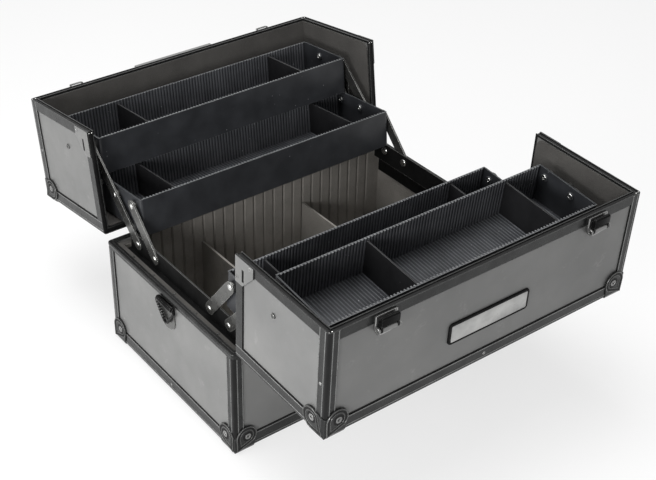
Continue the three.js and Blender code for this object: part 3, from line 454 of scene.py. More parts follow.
# How far a trim, and the head of a rivet, is sunk into the face that it stands on
SINK = 0.1
HEAD_SINK = 0.3


def arc(centre, radius, start, end, steps):
    turns = (math.radians(start + (end - start) * i / steps) for i in range(steps + 1))
    return [(centre[0] + radius * math.cos(t), centre[1] + radius * math.sin(t)) for t in turns]


def rounded_rectangle(x, y, radius, steps=5):
    """Half sizes x and y about the origin."""
    corners = ((1, 1, 0), (-1, 1, 90), (-1, -1, 180), (1, -1, 270))
    return [
        point
        for sx, sy, start in corners
        for point in arc((sx * (x - radius), sy * (y - radius)), radius, start, start + 90, steps)
    ]


class Shape:
    """One piece's mesh, gathered from closed forms in millimetres."""

    def __init__(self):
        self.points = []
        self.faces = []

    def skin(self, rings, place=IDENTITY, loop=False):
        """Joins each ring of points to the next; the first and last are filled, or joined in a loop."""
        first = len(self.points)
        count = len(rings[0])
        self.points += [place @ Vector(point) for ring in rings for point in ring]
        for i in range(len(rings) if loop else len(rings) - 1):
            near = first + i * count
            far = first + (i + 1) % len(rings) * count
            for j in range(count):
                k = (j + 1) % count
                self.faces.append((near + j, near + k, far + k, far + j))
        if not loop:
            last = first + (len(rings) - 1) * count
            self.faces.append(tuple(range(first, first + count)))
            self.faces.append(tuple(range(last, last + count)))

    def prism(self, outline, axis, start, end, place=IDENTITY):
        """An outline in the two other axes, in their order, run along one axis."""
        def at(u, v, s):
            return {"X": (s, u, v), "Y": (u, s, v), "Z": (u, v, s)}[axis]
        self.skin([[at(u, v, s) for u, v in outline] for s in (start, end)], place)

    def lathe(self, profile, place, steps=LATHE_STEPS):
        """A profile of (radius, height) turned about local Z."""
        turns = [2 * math.pi * i / steps for i in range(steps)]
        rings = [[(r * math.cos(t), r * math.sin(t), h) for r, h in profile] for t in turns]
        self.skin(rings, place, loop=True)

    def ridge(self, path, profile, place=IDENTITY, loop=True):
        """A profile of (sideways, height) run along a path in local XY; sideways is left of the path."""
        count = len(path)
        rings = []
        for i, point in enumerate(path):
            before = path[i - 1] if loop or i else point
            after = path[(i + 1) % count] if loop or i < count - 1 else point
            along = (Vector(after) - Vector(before)).normalized()
            rings.append([(point[0] - along.y * a, point[1] + along.x * a, h) for a, h in profile])
        self.skin(rings, place, loop)

    def piece(self, name, body, finish):
        mesh = bpy.data.meshes.new(name)
        bm = bmesh.new()
        verts = [bm.verts.new(point * MM) for point in self.points]
        for face in self.faces:
            bm.faces.new([verts[i] for i in face])
        bmesh.ops.remove_doubles(bm, verts=bm.verts, dist=MERGE)
        bmesh.ops.recalc_face_normals(bm, faces=bm.faces)
        bm.to_mesh(mesh)
        bm.free()
        for polygon in mesh.polygons:
            polygon.use_smooth = True
        mesh.set_sharp_from_angle(angle=SMOOTH_BELOW)
        mesh.materials.append(MATERIALS[finish])
        obj = bpy.data.objects.new(name, mesh)
        bpy.context.scene.collection.objects.link(obj)
        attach(obj, body)
        return obj


def dome_profile(radius, height):
    """A rivet head that bulges from its seat, sunk a little into it."""
    return [(0, -HEAD_SINK), (radius, -HEAD_SINK), (radius, 0.15 * height), (0.86 * radius, 0.62 * height),
            (0.55 * radius, 0.92 * height), (0, height)]


def eyelet_profile(radius, height, hole_share):
    """A rolled ring: the rim of a hollow rivet."""
    inner = hole_share * radius
    middle = (inner + radius) / 2
    return [(inner, -HEAD_SINK), (radius, -HEAD_SINK), (radius, 0.4 * height), (0.93 * radius, 0.8 * height),
            (middle, height), (inner * 1.15, 0.85 * height), (inner, 0.4 * height)]


def washer_profile(radius, height):
    return [(0, -HEAD_SINK), (radius, -HEAD_SINK), (radius, 0.7 * height), (0.93 * radius, height),
            (0, height)]


# Rivet heads in (radius, height), and rolled rings in (radius, height, share of the hole)
ARM_DOME = (4.2, 1.2)
LINK_DOME = (3.6, 2.1)
LEG_DOME = (2.3, 0.8)
STRAP_DOME = (1.9, 0.8)
RIM_PIN = (1.0, 0.7)
LEDGE_SCREW = (1.8, 1.2)
ARM_RING = (3.9, 0.9, 0.42)
CAP_RING = (4.3, 0.9, 0.4)
PLATE_RING = (2.6, 0.6, 0.45)
LATCH_RING = (3.9, 0.9, 0.45)


# Trays
RIB_FOOT = 2.8
RIB_TOP = 1.9
RIB_DEPTH = 1.3
LIP_RISE = 0.25
LIP_ACROSS = 0.8
LIP_END_ROOM = 0.6
TOOTH_RISE = 0.4
TOOTH_BACK = 1.5
FLOOR_RIB_WIDTH = 1.7
FLOOR_RIB_HEIGHT = 0.55
RIBS_EACH_WAY = 42


def rib_section(middle, foot, top, low, high):
    """Four points in (along, up): as wide as foot at low, and as top at high."""
    return [(middle - foot / 2, low), (middle - top / 2, high),
            (middle + top / 2, high), (middle + foot / 2, low)]


def tray_ribs(side, level):
    """Ribs at every slot of the two long walls, fine ones across the floor, and the toothed upper lips."""
    faces = TRAY_SPAN[level]
    low, high = faces[0] + TRAY_WALL, faces[1] - TRAY_WALL
    floor = TRAY_BOTTOM + TRAY_WALL
    place = tray_place(side, level)
    body = f"{side}_{level}_tray_set"
    walls, ground, lips = Shape(), Shape(), Shape()
    for i in range(-RIBS_EACH_WAY, RIBS_EACH_WAY):
        x = (i + 0.5) * SLOT_PITCH
        for wall, inward in ((low, 1), (high, -1)):
            front = wall + RIB_DEPTH * inward
            rib = rib_section(x, RIB_FOOT, RIB_TOP, wall - SINK * inward, front)
            walls.prism(rib, "Z", floor - SINK, TRAY_TOP - SINK, place)
            tooth = rib_section(x, RIB_TOP, RIB_TOP, wall - TOOTH_BACK * inward, front)
            lips.prism(tooth, "Z", TRAY_TOP - SINK, TRAY_TOP + TOOTH_RISE, place)
        rib = rib_section(x, FLOOR_RIB_WIDTH, FLOOR_RIB_WIDTH / 2, floor - SINK, floor + FLOOR_RIB_HEIGHT)
        ground.prism(rib, "Y", low - SINK, high + SINK, place)
    end = TRAY_END - LIP_END_ROOM
    foot, shoulder = TRAY_TOP - SINK, TRAY_TOP + BAR_SHOULDER_SHARE * LIP_RISE
    for face, inward in zip(faces, (1, -1)):
        a, b = face + SINK * inward, face + LIP_ACROSS * inward
        bar = [(a, foot), (a, shoulder), ((a + b) / 2, TRAY_TOP + LIP_RISE), (b, shoulder), (b, foot)]
        lips.prism(bar, "X", -end, end, place)
    # The ribs are coloured lighter than the tray: painted light on its inside walls and floor
    walls.piece(f"{side}_{level}_tray_wall_ribs", body, "rib")
    ground.piece(f"{side}_{level}_tray_floor_ribs", body, "rib")
    # The lips are coloured pale: a painted highlight on the trays' top edges
    lips.piece(f"{side}_{level}_tray_lip_highlights", body, "lip")


# Rivets of the linkage
WASHER_RADIUS = 5.4
HEAD_STAND = 2.0

# The pivots of each arm, on the brackets and on the trays
ARM_RIVETS = {
    "long_arm": (["long_foot"], ["lower", "upper"]),
    "short_arm": (["short_foot"], ["short_tip"]),
    "upper_short_arm": ([], ["upper_short_foot", "upper_short_tip"]),
}


def arm_rivets(side, arm):
    """Domes on the outer faces, eyelets on washers inside the trays, and domes inside the brackets."""
    points = arm_points(side)
    place = side_place(side)
    wall = TRAY_END - TRAY_WALL
    feet, tray_pivots = ARM_RIVETS[arm]
    outer, eyelets, washers = Shape(), Shape(), Shape()

    def seat(name, x, outward):
        return on_face(place, (x, *points[name]), (outward, 0, 0))

    for end in (-1, 1):
        for name in feet + tray_pivots:
            outer.lathe(dome_profile(*ARM_DOME), seat(name, end * ARM_OUTER, end))
        for name in tray_pivots:
            washers.lathe(washer_profile(WASHER_RADIUS, HEAD_STAND), seat(name, end * wall, -end))
            eyelets.lathe(eyelet_profile(*ARM_RING), seat(name, end * (wall - HEAD_STAND), -end))
        for name in feet:
            outer.lathe(dome_profile(WASHER_RADIUS, HEAD_STAND), seat(name, end * BRACKET_INNER, -end))
    body = f"{side}_{arm}s"
    outer.piece(f"{side}_{arm}_rivet_domes", body, "bright")
    eyelets.piece(f"{side}_{arm}_rivet_eyelets", body, "bright")
    washers.piece(f"{side}_{arm}_rivet_washers", body, "tray")


def link_domes(side):
    """The outer heads of the rivets that hold the lid links."""
    shape = Shape()
    head = dome_profile(*LINK_DOME)
    for end in (-1, 1):
        face = end * (HALF_LENGTH - PANEL_INSET)
        shape.lathe(head, on_face(lid_place(side), (face, *LID_PIVOT), (end, 0, 0)))
    # Charcoal rather than panel grey: painted shade round each small dome
    shape.piece(f"{side}_lid_link_domes", f"{side}_lid_links", "trim")


# Rims
GASKET_SINK = 0.8
GASKET_ROUND = 0.9
GASKET_GAP = 0.1
RIM_PIN_INSETS = (2.0, 6.0)
RIM_PIN_PLACE = 3.2
RIM_PIN_DROP = 3.0


def gasket_section(middle, half, floor, top):
    """A low bar with rounded shoulders, in (across, height), between a groove's floor and the lips."""
    inner = half - GASKET_ROUND
    step = (top - floor) * BAR_SHOULDER_SHARE
    return [(middle - half, floor), (middle - half, floor + step), (middle - inner, top),
            (middle + inner, top), (middle + half, floor + step), (middle + half, floor)]


def lid_gasket(side):
    """Black rubber in the groove between the two lips of a lid's rim."""
    place = lid_place(side)
    half = RIM_WIDTH / 2 - LIP_WIDTH - GASKET_GAP
    middle_x = HALF_LENGTH - RIM_WIDTH / 2
    middle_y = HALF_WIDTH - RIM_WIDTH / 2
    middle_z = LID_TOP - RIM_WIDTH / 2
    bottom = LID_BOTTOM + LIP_DEPTH + GASKET_GAP, LID_BOTTOM + GASKET_SINK
    split = SPLIT_HALF + LIP_DEPTH + GASKET_GAP, SPLIT_HALF + GASKET_SINK
    shape = Shape()
    shape.prism(gasket_section(middle_y, half, *bottom), "X", -middle_x, middle_x, place)
    top_bar = [(y, z) for z, y in gasket_section(middle_z, half, *split)]
    shape.prism(top_bar, "X", -middle_x, middle_x, place)
    for end in (-1, 1):
        section = gasket_section(end * middle_x, half, *bottom)
        shape.prism(section, "Y", split[1], middle_y + half, place)
        section = gasket_section(end * middle_x, half, *split)
        shape.prism(section, "Z", bottom[1], middle_z + half, place)
    shape.piece(f"{side}_lid_gasket", f"{side}_lid", "gasket")


def lid_rim_pins(side):
    """Small bright pins at the ends of a lid's rim."""
    place = lid_place(side)
    head = dome_profile(*RIM_PIN)
    shape = Shape()
    for end in (-1, 1):
        for inset in RIM_PIN_INSETS:
            x = end * (HALF_LENGTH - inset)
            seat = on_face(place, (x, SPLIT_HALF + RIM_PIN_PLACE, LID_BOTTOM + GASKET_SINK), (0, 0, -1))
            shape.lathe(head, seat, SCREW_STEPS)
            seat = on_face(place, (x, SPLIT_HALF + GASKET_SINK, LID_TOP - RIM_PIN_DROP), (0, -1, 0))
            shape.lathe(head, seat, SCREW_STEPS)
    shape.piece(f"{side}_lid_rim_pins", f"{side}_lid", "bright")


# Each line of the base's rim: its name, its finish, how far in it runs, and its section in (inward, up)
RIM_LEAST_ROUND = 0.5
RIM_LINES = (
    ("base_rim_shoulder", "extrusion", 0.0, [(0.3, 152.4), (-0.35, 152.8), (-0.6, 154.6), (-0.45, 156.4),
                                             (0.2, 157.15), (1.3, 157.15), (1.5, 156.9)]),
    ("base_rim_outer_seal", "gasket", 2.8, [(-0.9, 156.9), (-0.9, 157.1), (0.9, 157.1), (0.9, 156.9)]),
    ("base_rim_ridge", "extrusion", 4.4, [(-0.5, 156.9), (-0.3, 157.28), (0.3, 157.28), (0.5, 156.9)]),
    ("base_rim_inner_seal", "gasket", 5.8, [(-0.7, 156.9), (-0.7, 157.1), (0.7, 157.1), (0.7, 156.9)]),
)


def base_rim_lines():
    """The moulded lines round the base's rim: a shoulder, two black seals and a ridge."""
    for name, finish, inset, profile in RIM_LINES:
        radius = max(CORNER_ROUND - inset, RIM_LEAST_ROUND)
        path = rounded_rectangle(HALF_LENGTH - inset, HALF_WIDTH - inset, radius)
        shape = Shape()
        shape.ridge(path, profile)
        shape.piece(name, "base", finish)


LEDGE_TOP = 153.0
LEDGE_OUT = (226.8, 140.8)
LEDGE_IN = (219.2, 133.2)
LEDGE_ROUND = 1.0
LEDGE_THICK = 0.5
LEDGE_SINK = 0.2
LEDGE_SCREWS = 5
LEDGE_SCREW_PITCH = 50.0


def base_ledge():
    """The dark strip on top of the lining, held by small screws."""
    strip, screws = Shape(), Shape()
    low, high = LEDGE_TOP - LEDGE_SINK, LEDGE_TOP + LEDGE_THICK
    rings = ((LEDGE_OUT, low), (LEDGE_OUT, high), (LEDGE_IN, high), (LEDGE_IN, low))
    strip.skin(
        [[(x, y, z) for x, y in rounded_rectangle(*half, LEDGE_ROUND)] for half, z in rings], loop=True)
    strip.piece("base_ledge_strip", "base", "board")
    middle_x = (LEDGE_OUT[0] + LEDGE_IN[0]) / 2
    head = dome_profile(*LEDGE_SCREW)
    for s in (-1, 1):
        for i in range(LEDGE_SCREWS):
            y = (i - (LEDGE_SCREWS - 1) / 2) * LEDGE_SCREW_PITCH
            screws.lathe(head, shift(s * middle_x, y, high), SCREW_STEPS)
    screws.piece("base_ledge_screws", "base", "trim")


# Edge extrusions: a black rolled corner between two light lines, and a line along each leg's inner edge. The
# roll's black is a painted dark reflection on the rounded corner, and the lines' light colour is a painted
# highlight on low beads.
ROLL_FOOT = 5.2
ROLL_PROUD = 0.15
ROLL_STEPS = 6
LINE_PLACE = 5.9
LINE_HALF = 0.75
LINE_HEIGHT = 0.5
LINE_SHOULDER_SHARE = 0.7
EDGING_SINK = 0.3
EDGING_END_ROOM = 0.2
UNDER_CAP = 20.0


def roll_section():
    """Points as distances inward from the two faces that meet at the edge."""
    start = [(ROLL_FOOT, EDGING_SINK), (ROLL_FOOT, -ROLL_PROUD)]
    corner = arc((CORNER_ROUND, CORNER_ROUND), CORNER_ROUND + ROLL_PROUD, 270, 180, ROLL_STEPS)
    return start + corner + [(-ROLL_PROUD, ROLL_FOOT), (EDGING_SINK, ROLL_FOOT)]


def line_section(place):
    """A low bead on the first face, at a distance from the edge."""
    half, high = LINE_HALF, LINE_HEIGHT
    near, low = LINE_SHOULDER_SHARE * half, LINE_SHOULDER_SHARE * high
    return [(place - half, EDGING_SINK), (place - near, -low), (place, -high), (place + near, -low),
            (place + half, EDGING_SINK)]


class Edging:
    """The rolls and lines of one body."""

    def __init__(self):
        self.rolls = Shape()
        self.lines = Shape()

    def run(self, axis, corner, inward, span, inner, place=IDENTITY):
        """One edge; inner holds where each leg ends on the two faces, or nothing."""
        def outline(section):
            return [(corner[0] + inward[0] * a, corner[1] + inward[1] * b) for a, b in section]
        self.rolls.prism(outline(roll_section()), axis, *span, place)
        for face, ends in enumerate(inner):
            for along in (LINE_PLACE, ends - LINE_HALF) if ends else ():
                section = line_section(along)
                if face:
                    section = [(b, a) for a, b in section]
                self.lines.prism(outline(section), axis, *span, place)

    def piece(self, name, body):
        # Rolls: painted dark reflection. Lines: painted highlights
        self.rolls.piece(f"{name}_edge_rolls", body, "roll")
        self.lines.piece(f"{name}_edge_lines", body, "line")


def base_edging():
    edging = Edging()
    x, y = HALF_LENGTH, HALF_WIDTH
    upright = UNDER_CAP, BASE_HEIGHT - RIM_LEG
    for sx in (-1, 1):
        for sy in (-1, 1):
            edging.run("Z", (sx * x, sy * y), (-sx, -sy), upright, (FRAME_LEG, FRAME_LEG))
    for s in (-1, 1):
        edging.run("X", (s * y, BASE_FOOT), (-s, 1), (UNDER_CAP - x, x - UNDER_CAP), (0, FOOT_LEG))
        edging.run("Y", (s * x, BASE_FOOT), (-s, 1), (UNDER_CAP - y, y - UNDER_CAP), (0, FOOT_LEG))
    edging.piece("base", "base")


def lid_edging(side):
    place = lid_place(side)
    edging = Edging()
    x, y = HALF_LENGTH, HALF_WIDTH
    along = UNDER_CAP - x, x - UNDER_CAP
    upright = LID_BOTTOM + EDGING_END_ROOM, LID_TOP - UNDER_CAP
    across = SPLIT_HALF + EDGING_END_ROOM, y - UNDER_CAP
    edging.run("X", (y, LID_TOP), (-1, -1), along, (LID_BACK_LEG, LID_TOP_LEG), place)
    for s in (-1, 1):
        edging.run("Z", (s * x, y), (-s, -1), upright, (FRAME_LEG, LID_BACK_LEG), place)
        edging.run("Y", (s * x, LID_TOP), (-s, -1), across, (FRAME_LEG, LID_TOP_LEG), place)
    edging.piece(f"{side}_lid", f"{side}_lid")


# Corner caps: ridges, a black channel and an eyelet on each leaf. The ridges are coloured lighter than the
# cap, a painted highlight; the black channel and the dark disc under each eyelet are painted shade in the
# groove and the recess.
CAP_SINK = 0.2
CAP_POCKET_RADIUS = 7.4
CAP_POCKET_HEIGHT = 0.08
CAP_EYELET = (19.0, 21.0)
LOBE_ARC = (176, -46)
LOBE_STEPS = 16

# Each line of a leaf: the radius round its lobe, its point at the corner, its half width and its height
CAP_RIDGES = ((14.3, (3.2, 2.6), 0.75, 0.65), (9.9, (8.4, 9.2), 0.7, 0.55))
CAP_CHANNEL = (12.1, (5.6, 5.6), 1.25, 0.08)


def teardrop(radius, tip):
    """A round lobe drawn in to a point at the case's corner."""
    return arc((LOBE_ACROSS, LOBE_UP), radius, *LOBE_ARC, LOBE_STEPS) + [tip]


def ridge_profile(half, height):
    return [(-half, -CAP_SINK), (-0.6 * half, 0.75 * height), (0, height), (0.6 * half, 0.75 * height),
            (half, -CAP_SINK)]


def cap_leaf(ridges, channels, eyelets, place):
    for radius, tip, half, height in CAP_RIDGES:
        ridges.ridge(teardrop(radius, tip), ridge_profile(half, height), place)
    radius, tip, half, height = CAP_CHANNEL
    flat = [(-half, -CAP_SINK), (-half, height), (half, height), (half, -CAP_SINK)]
    channels.ridge(teardrop(radius, tip), flat, place)
    seat = place @ shift(*CAP_EYELET, 0)
    pocket = [(0, -CAP_SINK), (CAP_POCKET_RADIUS, -CAP_SINK), (CAP_POCKET_RADIUS, CAP_POCKET_HEIGHT),
              (0, CAP_POCKET_HEIGHT)]
    channels.lathe(pocket, seat)
    eyelets.lathe(eyelet_profile(*CAP_RING), seat)


def cap_leaves(corner, inward_y, inward_z, bottom):
    """The outer faces of one cap's leaves, drawn from the case's corner."""
    x, y, z = corner
    sx = math.copysign(1, x)
    out_x = x + sx * CAP_THICK
    out_y = y - inward_y * CAP_THICK
    leaves = [
        basis((out_x, y, z), (0, inward_y, 0), (0, 0, inward_z), (sx, 0, 0)),
        basis((x, out_y, z), (-sx, 0, 0), (0, 0, inward_z), (0, -inward_y, 0)),
    ]
    if not bottom:
        out_z = z - inward_z * CAP_THICK
        leaves.append(basis((x, y, out_z), (-sx, 0, 0), (0, inward_y, 0), (0, 0, -inward_z)))
    return leaves


def cap_trims(name, body, place, leaves):
    ridges, channels, eyelets = Shape(), Shape(), Shape()
    for leaf in leaves:
        cap_leaf(ridges, channels, eyelets, place @ leaf)
    # Ridges lighter than the cap: painted highlight. Channels and eyelet discs black: painted shade
    ridges.piece(f"{name}_cap_ridges", body, "trim")
    channels.piece(f"{name}_cap_channel_shade", body, "gasket")
    eyelets.piece(f"{name}_cap_eyelets", body, "steel")


def all_cap_trims():
    leaves = []
    for sx in (-1, 1):
        for sy in (-1, 1):
            leaves += cap_leaves((sx * HALF_LENGTH, sy * HALF_WIDTH, BASE_FOOT), -sy, 1, True)
    cap_trims("base", "base", IDENTITY, leaves)
    for side in SIDES:
        leaves = []
        for sx in (-1, 1):
            leaves += cap_leaves((sx * HALF_LENGTH, HALF_WIDTH, LID_TOP), -1, -1, False)
        cap_trims(f"{side}_lid", f"{side}_lid", lid_place(side), leaves)


# Slotted corner plates of the lids, in (across, up) from the corner between mouth and split
PLATE_ROOM = 0.3
PLATE_SKIN = 0.35
PLATE_BEVEL = 0.2
PLATE_CENTRE = (16, 15)
PLATE_FACE_SHARE = 0.975
PLATE_SLOT_FILL = 0.35
PLATE_RIVETS = ((28.0, 3.9), (3.6, 28.4))
PLATE_EDGE = ((0, 0), (21.5, 0), (36, 0), (36, 14), (25, 24.25), (14, 34.5), (0, 34.5), (0, 15))
PLATE_SLOT = ((13, 13), (21.5, 13), (30, 13), (30, 15), (30, 17), (21.5, 17), (13, 17), (13, 15))


def corner_plate_trims(side):
    skins, eyelets, slots = Shape(), Shape(), Shape()
    low, high = CORNER_PLATE_THICK - SINK, CORNER_PLATE_THICK + PLATE_SKIN
    drawn_in = [tuple(Vector(PLATE_CENTRE).lerp(Vector(point), PLATE_FACE_SHARE)) for point in PLATE_EDGE]
    rivet = eyelet_profile(*PLATE_RING)
    for end in (-1, 1):
        origin = (end * HALF_LENGTH, SPLIT_HALF + PLATE_ROOM, LID_BOTTOM + PLATE_ROOM)
        place = lid_place(side) @ basis(origin, (0, 1, 0), (0, 0, 1), (end, 0, 0))
        rings = ((PLATE_EDGE, low), (PLATE_EDGE, high - PLATE_BEVEL), (drawn_in, high),
                 (PLATE_SLOT, high), (PLATE_SLOT, low))
        skins.skin([[(a, u, h) for a, u in ring] for ring, h in rings], place, loop=True)
        for across, up in PLATE_RIVETS:
            eyelets.lathe(rivet, place @ shift(across, up, high), EYELET_STEPS)
        # A black fill in each slot: painted shade in the open slot
        slots.skin([[(a, u, h) for a, u in PLATE_SLOT] for h in (-SINK, PLATE_SLOT_FILL)], place)
    skins.piece(f"{side}_corner_plate_skins", f"{side}_lid", "panel")
    eyelets.piece(f"{side}_corner_plate_rivets", f"{side}_lid", "steel")
    slots.piece(f"{side}_corner_plate_slot_shade", f"{side}_lid", "gasket")


# Black beads just inside each panel's frame: painted shade along the step from the frame's legs down to the
# panel
DARK_BEAD_INSET = 0.9
DARK_BEAD_PROFILE = [(-0.9, -0.1), (-0.7, 0.45), (0, 0.7), (0.7, 0.45), (0.9, -0.1)]


def dark_bead(shape, place, a0, a1, b0, b1):
    """A bead just inside the opening of one panel, in the place's X and Y."""
    path = [(a0 + DARK_BEAD_INSET, b0 + DARK_BEAD_INSET), (a1 - DARK_BEAD_INSET, b0 + DARK_BEAD_INSET),
            (a1 - DARK_BEAD_INSET, b1 - DARK_BEAD_INSET), (a0 + DARK_BEAD_INSET, b1 - DARK_BEAD_INSET)]
    shape.ridge(path, DARK_BEAD_PROFILE, place)


def panel_dark_beads():
    along, across = HALF_LENGTH - FRAME_LEG, HALF_WIDTH - FRAME_LEG
    x, y = HALF_LENGTH - PANEL_INSET, HALF_WIDTH - PANEL_INSET
    bottom, top = FOOT_LEG + BASE_FOOT, BASE_HEIGHT - RIM_LEG
    base = Shape()
    for s in (-1, 1):
        dark_bead(base, basis((s * x, 0, 0), (0, 1, 0), (0, 0, 1), (s, 0, 0)), -across, across, bottom, top)
        dark_bead(base, basis((0, s * y, 0), (1, 0, 0), (0, 0, 1), (0, s, 0)), -along, along, bottom, top)
    # The beads are painted shade at the panels' edges
    base.piece("base_panel_dark_beads", "base", "gasket")
    y0, y1 = SPLIT_HALF + LID_RIM_LEG, HALF_WIDTH - LID_BACK_LEG
    z0, z1 = LID_BOTTOM + LID_RIM_LEG, LID_TOP - LID_TOP_LEG
    for side in SIDES:
        place = lid_place(side)
        lid = Shape()
        for s in (-1, 1):
            dark_bead(lid, place @ basis((s * x, 0, 0), (0, 1, 0), (0, 0, 1), (s, 0, 0)), y0, y1, z0, z1)
        dark_bead(lid, place @ basis((0, y, 0), (1, 0, 0), (0, 0, 1), (0, 1, 0)), -along, along, z0, z1)
        top_face = place @ basis((0, 0, LID_TOP - PANEL_INSET), (1, 0, 0), (0, 1, 0), (0, 0, 1))
        dark_bead(lid, top_face, -along, along, y0, y1)
        # The beads are painted shade at the panels' edges
        lid.piece(f"{side}_lid_panel_dark_beads", f"{side}_lid", "gasket")


# Rivets in the middles of the edge extrusions
LEG_RIVET_INSET = 10.5


def leg_rivets():
    head = dome_profile(*LEG_DOME)
    inset = LEG_RIVET_INSET
    base = Shape()
    for s in (-1, 1):
        base.lathe(head, on_face(IDENTITY, (s * HALF_LENGTH, 0, inset), (s, 0, 0)), RIVET_STEPS)
        base.lathe(head, on_face(IDENTITY, (0, s * HALF_WIDTH, inset), (0, s, 0)), RIVET_STEPS)
    base.piece("base_leg_rivets", "base", "steel")
    for side in SIDES:
        place = lid_place(side)
        lid = Shape()
        lid.lathe(head, on_face(place, (0, HALF_WIDTH - inset, LID_TOP), (0, 0, 1)), RIVET_STEPS)
        lid.lathe(head, on_face(place, (0, HALF_WIDTH, LID_TOP - inset), (0, 1, 0)), RIVET_STEPS)
        for s in (-1, 1):
            seat = on_face(place, (s * HALF_LENGTH, HALF_WIDTH / 2, LID_TOP - inset), (s, 0, 0))
            lid.lathe(head, seat, RIVET_STEPS)
        lid.piece(f"{side}_lid_leg_rivets", f"{side}_lid", "steel")


# Latches. The front lid is turned round, so the left latch stands at positive X of its drawing
LEVER_HALF = 12.6
LEVER_BEVEL = 0.9
LEVER_END_SHARE = 0.86
LEVER_MIDDLE = (9.5, 333.0)
LEVER_SECTION = ((3.3, 332.4), (3.3, 334.8), (4.9, 336.4), (13.8, 336.4), (15.8, 334.4), (15.8, 330.4),
                 (14.6, 329.2), (6.4, 329.2), (5.6, 332.4))
CHEEK_SECTION = ((13.5, 330.4), (13.5, 335.4), (17.5, 336.0), (21.5, 335.8), (23.2, 333.8), (23.2, 331.2),
                 (21.5, 329.4), (17.5, 329.6))
CHEEK_INSET = 0.4
CHEEK_THICK = 2.0
BARREL_RADIUS = 3.4
BARREL_BEVEL = 0.3


def latch_lever(name, x):
    """A bevelled black lever on two cheeks that turn about the pin's barrel."""
    place = lid_place("front")
    drawn_in = [tuple(Vector(LEVER_MIDDLE).lerp(Vector(point), LEVER_END_SHARE)) for point in LEVER_SECTION]
    inner = LEVER_HALF - LEVER_BEVEL
    sections = ((-LEVER_HALF, drawn_in), (-inner, LEVER_SECTION), (inner, LEVER_SECTION),
                (LEVER_HALF, drawn_in))
    shape = Shape()
    shape.skin([[(x + reach, y, z) for y, z in section] for reach, section in sections], place)
    outside = LEVER_HALF - CHEEK_INSET
    inside = outside - CHEEK_THICK
    for s in (-1, 1):
        shape.prism(CHEEK_SECTION, "X", x + s * outside, x + s * inside, place)
    lever = shape.piece(f"latch_lever_form_{name}", f"latch_{name}", "latch")
    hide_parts(f"latch_lever_{name}")
    barrel, ends = Shape(), Shape()
    h, r, bevel = inside, BARREL_RADIUS, BARREL_BEVEL
    barrel.lathe([(0, -h), (r - bevel, -h), (r, bevel - h), (r, h - bevel), (r - bevel, h), (0, h)],
                 place @ shift(x, *LATCH_PIN) @ turn_about("Y", 90))
    barrel.piece(f"latch_barrel_{name}", f"latch_{name}", "steel")
    head = eyelet_profile(*LATCH_RING)
    for s in (-1, 1):
        ends.lathe(head, on_face(place, (x + s * LATCH_HALF, *LATCH_PIN), (s, 0, 0)), EYELET_STEPS)
    ends.piece(f"latch_pin_ends_{name}", f"latch_{name}", "steel")


LATCH_TIP_SHARE = 0.9
BEAD_INSET = 0.8
BEAD_START = 1.0
BEAD_STEPS = 16
BEAD_PROFILE = [(-0.7, 328.1), (-0.4, 328.7), (0.4, 328.7), (0.7, 328.1)]


def latch_trims():
    """A bead along the half-round edge of each latch plate, and the two levers."""
    place = lid_place("front")
    y0, y1 = LATCH_PLATE_SPAN
    rim = LATCH_HALF - BEAD_INSET
    centre_y = y1 - LATCH_HALF * LATCH_TIP_SHARE
    beads = Shape()
    for x in (-LATCH_PLACE, LATCH_PLACE):
        path = [(x + rim, y0 + BEAD_START)] + arc((x, centre_y), rim, 0, 180, BEAD_STEPS)
        path.append((x - rim, y0 + BEAD_START))
        path = [(px, min(py, y1 - BEAD_INSET)) for px, py in path]
        beads.ridge(path, BEAD_PROFILE, place, loop=False)
    # The beads are a lighter silver than the plate: a painted highlight along its rim
    beads.piece("latch_plate_beads", "front_lid", "silver")
    latch_lever("left", LATCH_PLACE)
    latch_lever("right", -LATCH_PLACE)


# Rear lid: catches and handle
CROWN_HALF = 9.0
CROWN_WIRE = 1.3
CROWN_PLACE = (2.4, 333.4)
CROWN_RISE = 3.6
CROWN_BEND = 2.0
CROWN_BEND_STEPS = 4
WIRE_SIDES = 8
RAIL_HALF = 64.0
RAIL_SECTION = ((1.0, 326.6), (0.8, 333.5), (1.8, 336.2), (3.6, 336.8), (4.8, 335.4), (5.0, 326.6))


def rear_lid_fittings():
    """A wire loop on each catch, and the rail behind the handle."""
    place = lid_place("rear")
    loops, rail = Shape(), Shape()
    y, z = CROWN_PLACE
    bend, steps = CROWN_BEND, CROWN_BEND_STEPS
    wire = arc((0, 0), CROWN_WIRE, 0, 360 - 360 / WIRE_SIDES, WIRE_SIDES - 1)
    for x in (-LATCH_PLACE, LATCH_PLACE):
        left, right, top = x - CROWN_HALF + bend, x + CROWN_HALF - bend, z + CROWN_RISE - bend
        path = [(x - CROWN_HALF, z)]
        path += arc((left, top), bend, 180, 90, steps)
        path += arc((right, top), bend, 90, 0, steps)
        path.append((x + CROWN_HALF, z))
        loops.ridge(path, wire, place @ basis((0, y, 0), (1, 0, 0), (0, 0, 1), (0, -1, 0)), loop=False)
    loops.piece("rear_catch_loops", "rear_lid", "steel")
    rail.prism(RAIL_SECTION, "X", -RAIL_HALF, RAIL_HALF, place)
    rail.piece("rear_handle_rail", "rear_lid", "steel")


# Bare plate on the front lid
BADGE_MIDDLE = 83.5
BADGE_HALF_LENGTH = 62.0
BADGE_HALF_HEIGHT = 15.0
BADGE_ROUND = 5.0

# The name, finish and rings of each form, the rings in (inset, height)
BADGE_FORMS = (
    ("badge_surround", "latch", ((0, -0.2), (0, 1.6), (0.9, 2.6), (2.6, 2.6), (3.0, 2.1))),
    ("badge_field", "silver", ((3.4, 1.5), (3.4, 2.35), (3.8, 2.6))),
)


